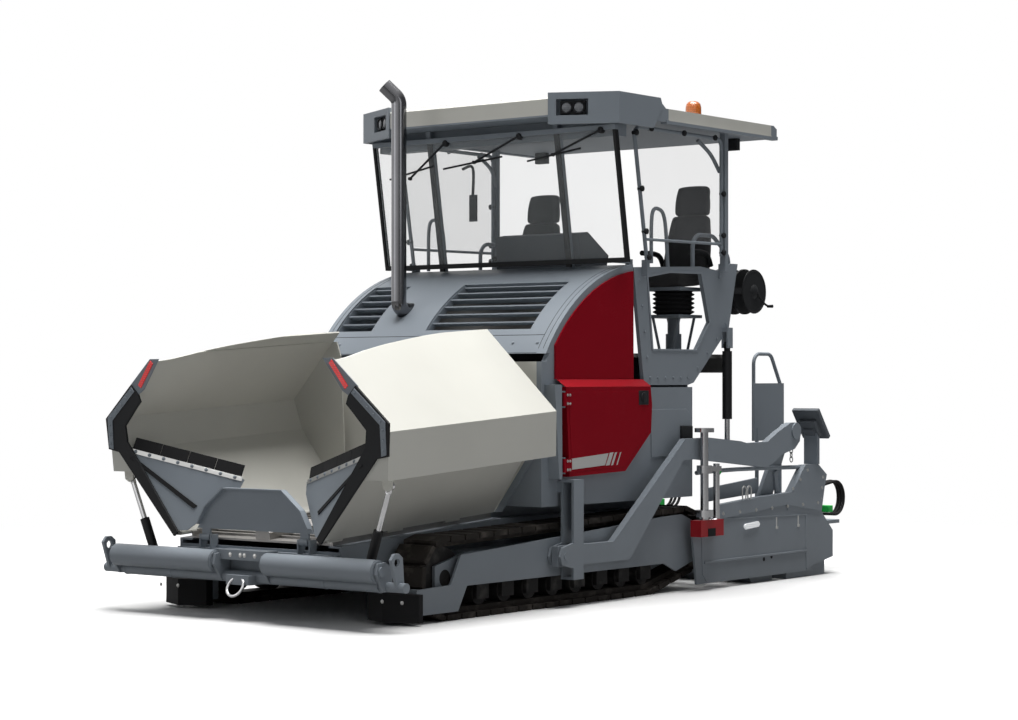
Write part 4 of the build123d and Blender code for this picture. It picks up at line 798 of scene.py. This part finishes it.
class PAVER_OT_side_trim(PaverOperator):
    """Ledge in a lighter red as a painted highlight, skin, plate, latch and hinge bolts of the doors, and the panels
    behind them.
    """
    bl_label = "Side trim"

    DOOR, PANEL = 1.248, 1.150       # y of the door's face, and of the panels'
    SKIN = [(1.185, 1.594), (1.145, 1.000), (0.472, 1.020), (0.146, 1.292), (0.130, 1.480), (0.146, 1.594)]
    REAR_PANEL = [(-0.030, 1.452), (-0.520, 1.452), (-0.585, 1.405), (-0.600, 1.200), (-0.470, 1.075),
                  (-0.030, 1.075)]
    RIM = [(0.010, 2.490), (-0.060, 1.925), (-0.680, 1.925), (-0.870, 2.150), (-0.745, 2.540), (-0.300, 2.535)]
    RIM_MIDDLE = Vector((-0.40, 2.22))

    def build(self, scene):
        face = self.DOOR
        for name, side in SIDES:
            door = "door_" + name
            ledge = Shape(side).prism([(1.205, 1.628), (1.214, 1.6335), (0.115, 1.6335), (0.122, 1.628)],
                                      face - 0.004, face + 0.001)
            profile = [(face - 0.001, 1.630), (face - 0.001, 1.6335), (1.168, 1.688), (1.166, 1.683)]
            ledge.rings([[(x, y, z) for y, z in profile] for x in (0.104, 1.222)])
            # the ledge's lighter red is a painted highlight
            ledge.done("door_ledge", "painted_lit_red", door, 0.001)
            low, high = face + 0.0026, face + 0.0042
            plate = Shape(side).prism([(1.152, 1.017), (1.152, 1.098), (0.682, 1.128), (0.728, 1.038)], low, high)
            for lean, x0, x1 in ((0.052, 0.664, 0.616), (0.052, 0.596, 0.570), (0.050, 0.528, 0.514)):
                plate.prism([(x0, 1.130), (x0 + lean, 1.034), (x1 + lean, 1.037), (x1, 1.133)], low, high)
            plate.done("door_plate", "plate", door)
            latch = Shape(side).box((0.146, face - 0.0005, 1.490), (0.278, face + 0.006, 1.600))
            latch.turned((0.212, face + 0.005, 1.548), OUTWARD, [(0, 0.040), (0.006, 0.038), (0.008, 0.030)], 20)
            latch.box((0.196, face, 1.512), (0.228, face + 0.018, 1.585))
            latch.done("door_latch", "dark_plastic", door, 0.003)
            bolts = Shape(side)
            for z in (1.050, 1.540):
                for x in (1.175, 1.205):
                    bolts.bolts((x, face + 0.006, z - 0.032), (x, face + 0.006, z + 0.032), 2, OUTWARD, 0.008)
            bolts.done("door_bolts", "steel", door)
            Shape(side).prism(self.SKIN, face + 0.0002, face + 0.0025).done("door_skin", "red", door, 0.002)
            panel = Shape(side).prism(self.REAR_PANEL, self.PANEL, self.PANEL + 0.007)
            panel.done("rear_panel", "grey", "chassis", 0.003)
            box = Shape(side).prism([(-0.430, 1.316), (-0.586, 1.314), (-0.586, 1.196), (-0.430, 1.200)],
                                    self.PANEL + 0.006, self.PANEL + 0.030)
            box.done("rear_box", "dark_plastic", "chassis", 0.006)
            rim = []
            for scale, y in ((1.045, 1.1505), (1.045, 1.156), (0.992, 1.156), (0.992, 1.1505)):
                scaled = [self.RIM_MIDDLE + (Vector(p) - self.RIM_MIDDLE) * scale for p in self.RIM]
                rim.append([(x, y, z) for x, z in scaled])
            Shape(side).rings(rim, closed=True).done("platform_rim", "grey", "chassis", 0.002)
            trim = Shape(side)
            for (x0, z0), (x1, z1), count in (((-0.02, 1.70), (-0.56, 1.70), 6), ((0.12, 2.46), (0.02, 1.86), 4),
                                              ((-0.70, 1.78), (-1.12, 2.14), 4)):
                trim.bolts((x0, self.PANEL, z0), (x1, self.PANEL, z1), count, OUTWARD, 0.010)
            trim.done("platform_bolts", "grey", "chassis")


class PAVER_OT_hood_trim(PaverOperator):
    """Seams along the hood's edges and round its louvres, bolts, and a dark disc in the exhaust's mouth, painted
    shade for the inside of the pipe.
    """
    bl_label = "Hood trim"

    SEAM = ((0, -0.002), (1, -0.002), (1, 0.0), (0, 0.0))     # corners: across (0 or 1), and rise
    SIDE_ANGLES = [radians(34.5 + 47.5 * i / 24) for i in range(25)]

    def build(self, scene):
        seams = Shape()
        for _, side in SIDES:
            for y in (1.060, 1.105):
                seams.on(side).rings([[hood(angle, y + 0.0035 * across, rise) for across, rise in self.SEAM]
                                      for angle in self.SIDE_ANGLES])
        for angle in (radians(33.0), radians(39.2)):
            seams.on(1).rings([[hood(angle + 0.0022 * across, y, rise) for across, rise in self.SEAM]
                               for y in (-1.06, 1.06)])
        seams.done("hood_seams", "dark_plastic", "chassis")
        bolts = Shape()
        angle = radians(36.5)
        for y in (-0.95, -0.4, 0.2, 0.8, 1.03):
            bolts.bolt(hood(angle, y, -0.0012), (cos(angle), 0, sin(angle)), 0.011)
        bolts.done("hood_bolts", "grey", "chassis")
        end, out = Vector((1.175, -0.570, 4.010)), Vector((70, -90, 110)).normalized()
        # dark disc at the pipe's end: painted shade for the inside of the exhaust
        mouth = Shape().turned(end - out * 0.004, out, [(0, 0.053), (0.0045, 0.053), (0.0048, 0.0)], 28)
        mouth.done("exhaust_mouth", "rubber", "chassis")


# ---------------------------------------------------------------- screed

class PAVER_OT_screed_trim(PaverOperator):
    """Lamp, folds, rails and fittings of the end gates, the control panels and the chains on the tow arms."""
    bl_label = "Screed trim"

    GATE = 1.277                                              # y of the end gate's outer face
    LAMP = [(-1.175, 0.475), (-1.190, 0.500), (-1.395, 0.514), (-1.418, 0.492), (-1.402, 0.466), (-1.200, 0.452)]
    # each fold's outline, (x, z), and how far it stands off the gate
    FOLDS = (([(-0.590, 0.230), (-2.176, 0.232), (-2.176, 0.216), (-0.590, 0.206)], 0.014),
             ([(-0.585, 0.570), (-2.190, 0.536), (-2.190, 0.524), (-0.585, 0.556)], 0.007),
             ([(-0.567, 0.125), (-0.628, 0.060), (-0.610, 0.560), (-0.548, 0.560)], 0.006),
             ([(-2.172, 0.525), (-2.208, 0.525), (-2.214, 0.062), (-2.178, 0.062)], 0.006))
    # rows of bolts: y, start and end as (x, z), count
    BOLTS = ((1.290, (-0.86, 0.60), (-2.36, 0.625), 7), (1.282, (-1.96, 0.76), (-2.20, 0.91), 3),
             (1.282, (-2.46, 0.84), (-2.42, 0.66), 3))
    LINKS, LINK_PITCH = 4, 0.036

    def build(self, scene):
        for name, side in SIDES:
            body = "extension_" + name
            Shape(side).prism(self.LAMP, 1.279, 1.296).done("gate_lamp", "white_lamp", body, 0.006)
            folds = Shape(side)
            for outline, thick in self.FOLDS:
                folds.prism(outline, self.GATE, self.GATE + thick)
            folds.done("gate_folds", "grey", body, 0.003)
            self.fittings(Shape(side)).done("gate_fittings", "steel", body)
            rails = Shape(side).tube([(-0.60, 1.20, 0.935), (-1.20, 1.20, 0.945), (-2.16, 1.22, 0.935)], 0.018, 12, 4)
            rails.prism([(-1.82, 0.62), (-1.78, 0.90), (-1.83, 0.92), (-1.87, 0.64)], 1.19, 1.21)
            rails.box((-0.80, 1.16, 0.60), (-0.74, 1.19, 0.99))
            rails.prism([(-0.86, 0.69), (-1.62, 0.73), (-1.62, 0.86), (-0.86, 0.80)], 1.12, 1.14)
            rails.done("gate_rails", "grey", body, 0.003)
            Shape(side).turned((-0.86, 1.215, 0.94), OUTWARD, [(0, 0.024), (0.010, 0.036), (0.030, 0.036),
                                                               (0.044, 0.022)], 16).done(
                "gate_knob", "green", body)
            holes, pins = Shape(side), Shape(side)
            # thin dark discs on the gate's face: painted shade where the holes are
            for x, z in ((-1.50, 0.19), (-1.62, 0.205)):
                holes.turned((x, self.GATE + 0.0005, z), OUTWARD, [(0, 0.017), (0.0012, 0.017)], 18)
            holes.done("gate_holes", "rubber", body)
            for x, z in ((-0.60, 0.56), (-0.62, 0.445)):
                pins.rod((x, 1.30, z), (x - 0.05, 1.36, z), 0.012, 10)
            pins.done("clamp_pins", "chrome", body)
            # thin dark sheet: painted shade in the clamp's notch
            Shape(side).prism([(-0.500, 0.4365), (-0.500, 0.500), (-0.610, 0.500), (-0.610, 0.4365)],
                              1.3775, 1.3805).done("clamp_notch", "rubber", body, 0.001)
            self.panel(side).done("control_panel", "plastic", body, 0.008)
            self.chain(Shape(side)).done("tow_arm_chain", "steel", "screed")
            Shape(side).box((-3.10, 0.800, 0.500), (-3.02, 1.010, 0.560)).done("hose_clamp", "green", body, 0.006)

    def fittings(self, trim):
        """Bolts, two lifting eyes and two hanging knobs."""
        for y, (x0, z0), (x1, z1), count in self.BOLTS:
            trim.bolts((x0, y, z0), (x1, y, z1), count, OUTWARD)
        for x in (-1.16, -1.24):
            trim.tube([(x + dx, 1.30, z) for dx, z in ((-0.02, 0.70), (-0.03, 0.78), (0, 0.81), (0.03, 0.78),
                                                       (0.02, 0.70))], 0.006, 8, 4)
        for x in (-1.70, -2.05):
            trim.rod((x, self.GATE, 0.53), (x, self.GATE, 0.44), 0.007, 10)
            trim.turned((x, self.GATE, 0.43), UP, [(0, 0.004), (0.004, 0.016), (0.024, 0.016), (0.028, 0.004)], 12)
        return trim

    def panel(self, side):
        """Sloping control panel, with a raised face and a display on it."""
        turn = Matrix.Rotation(radians(38), 3, "Y")
        centre = Vector((-2.330, 1.240 * side, 1.306))
        face = centre + turn @ Vector((0.020, 0, -0.01))
        shape = Shape(side).on(1)       # the display is on the same hand on both panels
        for origin, low, high in ((centre, (-0.020, -0.130, -0.155), (0.020, 0.130, 0.155)),
                                  (face, (-0.002, -0.085, -0.09), (0.040, 0.085, 0.07)),
                                  (face, (0.030, -0.055, -0.07), (0.055, 0.045, 0.0))):
            shape.box(origin + Vector(low), origin + Vector(high), turn, origin)
        return shape

    def chain(self, shape):
        """Hanging links, each a quarter turn from the one above."""
        for i in range(self.LINKS):
            middle = Vector((-1.985, 1.25, 1.115 - i * self.LINK_PITCH))
            reach = Vector(OUTWARD if i % 2 else FORWARD)
            rings = []
            for turn in [2 * pi * k / 12 for k in range(12)]:
                point = middle + reach * (0.014 * cos(turn)) + Vector((0, 0, 0.024 * sin(turn)))
                rings.append(circle(point, (point - middle).normalized(), reach.cross(UP), 0.005, 6))
            shape.rings(rings, closed=True)
        return shape


class PAVER_OT_hoses(PaverOperator):
    """Three hoses in a loop behind each extension, from a block of couplings and back into it."""
    bl_label = "Screed hoses"

    # of each hose: length, and how far back its runs, its shoulders and its end reach
    HOSES = ((1.531, -3.21, -3.36, -3.445), (1.497, -3.18, -3.33, -3.434), (1.482, -3.18, -3.33, -3.423))
    FIRST_Y, PITCH = 0.860, 0.036
    DIAMETER = 0.026
    BLOCK_BACK = -2.770
    COUPLING = [(0, 0.0165), (0.020, 0.0165), (0.022, 0.0150), (0.050, 0.0150)]

    def build(self, scene):
        start = self.BLOCK_BACK
        for name, side in SIDES:
            body = "extension_" + name
            block = Shape(side).box((start, 0.830, 0.460), (start + 0.050, 0.970, 0.740))
            for i, (run, near, far, end) in enumerate(self.HOSES):
                y = self.FIRST_Y + self.PITCH * i
                for z, rise in ((0.700, 0.136), (0.500, -0.057)):
                    block.turned((start + 0.001, y, z), (-1, 0, rise), self.COUPLING, 16)
                y *= side
                route = [(start, y, 0.700), (near, y, 0.760), (far, y, 0.770), (end, y, 0.6825),
                         (end, y, 0.5525), (far, y, 0.465), (near, y, 0.475), (start, y, 0.500)]
                line = bpy.data.curves.new(f"hose_{name}_{i}", "CURVE")
                line.dimensions, line.bevel_depth, line.bevel_resolution = "3D", self.DIAMETER / 2, 3
                line.resolution_u = 12
                spline = line.splines.new("NURBS")
                spline.points.add(len(route) - 1)
                for point, place in zip(spline.points, route):
                    point.co = (*place, 1)
                spline.order_u, spline.use_endpoint_u = 3, True
                hose = add(line.name, line, "rubber", body)
            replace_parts(block.done("hose_block", "dark_plastic", body, 0.003), "extension_hoses_" + name)


class PAVER_OT_reel_hose(PaverOperator):
    """Hose wound on the reel's drum, and the reel's face and crank."""
    bl_label = "Reel hose"

    REEL_X, REEL_Y, REEL_Z = -1.560, 1.0, 2.420
    FACE = [(0, 0.186), (0.006, 0.184), (0.008, 0.172), (0.003, 0.166), (0.003, 0.060), (0.012, 0.052),
            (0.022, 0.030), (0.030, 0.014)]

    def build(self, scene):
        wound = Shape()
        for radius in (0.128, 0.150):
            for shift in (-0.030, -0.010, 0.010, 0.030):
                middle = Vector((self.REEL_X, self.REEL_Y + shift, self.REEL_Z))
                outs = circle(Vector(), Vector(FORWARD), Vector(UP), 1.0, 36)
                wound.rings([circle(middle + out * radius, out, Vector(OUTWARD), 0.0105, 8) for out in outs],
                            closed=True)
        wound.done("reel_hose", "rubber", "chassis")
        face = Shape().turned((self.REEL_X, 1.1445, self.REEL_Z), OUTWARD, self.FACE, 40)
        face.tube([(self.REEL_X, 1.168, self.REEL_Z), (-1.66, 1.176, 2.33), (-1.735, 1.178, 2.30)], 0.009, 10, 4)
        face.turned((-1.735, 1.170, 2.30), OUTWARD, [(0, 0.012), (0.050, 0.014), (0.054, 0.008)], 12)
        face.done("reel_face", "dark_plastic", "chassis")


# ---------------------------------------------------------------- seats

class PAVER_OT_seat_bases(PaverOperator):
    """Bellows and a post on a foot plate under each seat."""
    bl_label = "Seat bases"

    DECK_Z = 1.890
    POST = [(1.906, 0.10), (1.915, 0.065), (2.06, 0.065), (2.06, 0.050), (2.195, 0.050)]
    # plates: half width, bottom, top
    PLATES = ((0.200, 2.412, 2.440), (0.170, 2.190, 2.216), (0.190, DECK_Z, DECK_Z + 0.018))

    def build(self, scene):
        profile = [(2.215, 0.13)]
        for i in range(5):
            z = 2.225 + i * 0.036
            profile += [(z, 0.150), (z + 0.012, 0.172), (z + 0.020, 0.172), (z + 0.030, 0.150)]
        profile += [(2.410, 0.160), (2.420, 0.13)]
        bellows, posts = Shape(), Shape()
        x = SEAT_X
        for _, side in SIDES:
            y, top = SEAT_Y * side, self.DECK_Z + 0.018
            bellows.turned((x, y, 0), UP, profile, 40)
            posts.turned((x, y, 0), UP, self.POST, 28)
            for half, low, high in self.PLATES:
                posts.box((x - half, y - half, low), (x + half, y + half, high))
            for dx, dy in ((1, 1), (1, -1), (-1, 1), (-1, -1)):
                posts.bolt((x + 0.16 * dx, y + 0.16 * dy, top), UP, 0.011)
                posts.rod((x + 0.11 * dx, y + 0.06 * dy, top), (x + 0.11 * dx, y + 0.13 * dy, 2.192), 0.012, 12)
        bellows.done("seat_bellows", "rubber", "chassis")
        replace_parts(posts.done("seat_posts", "grey", "chassis", 0.003), "seat_bases")


class PAVER_OT_seats(PaverOperator):
    """Padded seat, back and headrest on each bellows base."""
    bl_label = "Seats"

    # name, middle (x, z), size (x, y, z), lean in degrees, taper of the top
    PADS = (("cushion", (-0.890, 2.520), (0.46, 0.45, 0.13), 4, 1.0),
            ("back", (-1.125, 2.805), (0.12, 0.47, 0.52), -11, 0.78),
            ("headrest", (-1.195, 3.170), (0.100, 0.33, 0.25), -8, 0.90))
    CLOTH_FRAMES, SWELL = 20, 0.009      # length of the cloth run, and the most it may move a point

    def build(self, scene):
        backs = {}
        for name, (x, z), size, lean, taper in self.PADS:
            mesh = self.pad(Vector(size) / 2, taper)
            self.stuff(scene, mesh)
            for side_name, side in SIDES:
                copy = mesh.copy()
                copy.transform(Matrix.Translation((x, SEAT_Y * side, z)) @ Matrix.Rotation(radians(lean), 4, "Y"))
                smooth_by_angle(copy, 80)
                piece = add(f"seat_{name}_{side_name}", copy, "cloth", "chassis")
                smoother = piece.modifiers.new("smooth", "SUBSURF")
                smoother.levels = smoother.render_levels = 1
                if name == "back":
                    backs[side_name] = piece
            bpy.data.meshes.remove(mesh)
        frames = Shape()
        for side_name, side in SIDES:
            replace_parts(backs[side_name], "seat_" + side_name)
            y = SEAT_Y * side
            for shift in (-0.06, 0.06):
                frames.rod((-1.196, y + shift, 2.99), (-1.208, y + shift, 3.12), 0.008, 10)
            for shift in (-0.235, 0.235):
                frames.tube([(-1.10, y + shift, 2.62), (-1.02, y + shift, 2.72), (-0.78, y + shift, 2.73)],
                            0.022, 12, 4)
        frames.done("seat_frames", "dark_plastic", "chassis")

    def pad(self, half, taper):
        """Crowned block whose edges pull in, with two grooves down its front, before it is stuffed."""
        bm = bmesh.new()
        bmesh.ops.create_cube(bm, size=1)
        bmesh.ops.subdivide_edges(bm, edges=bm.edges, cuts=9, use_grid_fill=True)
        for vert in bm.verts:
            u, v, w = vert.co * 2
            shrink = 1 - 0.10 * (u * u + v * v + w * w - 1) / 2
            narrow = 1 - (1 - taper) * (w + 1) / 2
            crown = 1 - 0.16 * (v * v + w * w) / 2
            vert.co = Vector((u * half.x * crown, v * half.y * narrow, w * half.z)) * shrink
            groove = 0.5 - 0.5 * cos(pi * min(1.0, abs(abs(v) - 0.62) / 0.08))
            if u > 0.9:
                vert.co.x -= (1 - groove) * 0.010
        mesh = bpy.data.meshes.new("pad")
        bm.to_mesh(mesh)
        bm.free()
        return mesh

    def stuff(self, scene, mesh):
        """Swells the pad with a short cloth run."""
        holder = add("stuffing", mesh)
        before = [vert.co.copy() for vert in mesh.vertices]
        settings = holder.modifiers.new("cloth", "CLOTH").settings
        settings.use_pressure = True
        settings.uniform_pressure_force = 4
        settings.effector_weights.gravity = 0
        settings.quality = 6
        for step in range(1, self.CLOTH_FRAMES + 1):
            scene.frame_set(step)
        swollen = holder.evaluated_get(bpy.context.evaluated_depsgraph_get())
        after = [vert.co.copy() for vert in swollen.to_mesh().vertices]
        swollen.to_mesh_clear()
        for vert, start, end in zip(mesh.vertices, before, after):
            step = end - start
            vert.co = start + (step * (self.SWELL / step.length) if step.length > self.SWELL else step)
        bpy.data.objects.remove(holder)
        scene.frame_set(1)


# ---------------------------------------------------------------- panel and registration

STEPS = [PAVER_OT_finishes, PAVER_OT_roof_trim, PAVER_OT_windows, PAVER_OT_hopper_trim, PAVER_OT_beam_trim,
         PAVER_OT_side_trim, PAVER_OT_hood_trim, PAVER_OT_screed_trim, PAVER_OT_hoses, PAVER_OT_reel_hose,
         PAVER_OT_seat_bases, PAVER_OT_seats, PAVER_OT_stage]


class PAVER_PT_sidebar(bpy.types.Panel):
    """Lists the camera's settings and the paver's groups of pieces."""
    bl_label = "Paver"
    bl_idname = "PAVER_PT_sidebar"
    bl_space_type = "VIEW_3D"
    bl_region_type = "UI"
    bl_category = "Paver"

    def draw(self, context):
        for key in PaverView.__annotations__:
            self.layout.prop(context.scene.paver_view, key)
        for step in STEPS:
            self.layout.operator(step.bl_idname)


CLASSES = [PaverView, *STEPS, PAVER_PT_sidebar]


def register():
    for item in CLASSES:
        bpy.utils.register_class(item)
    bpy.types.Scene.paver_view = bpy.props.PointerProperty(type=PaverView)


def unregister():
    del bpy.types.Scene.paver_view
    for item in reversed(CLASSES):
        bpy.utils.unregister_class(item)


def main():
    register()
    for step in STEPS:
        getattr(bpy.ops.paver, step.bl_idname.split(".")[1])()


if __name__ == "__main__":
    main()
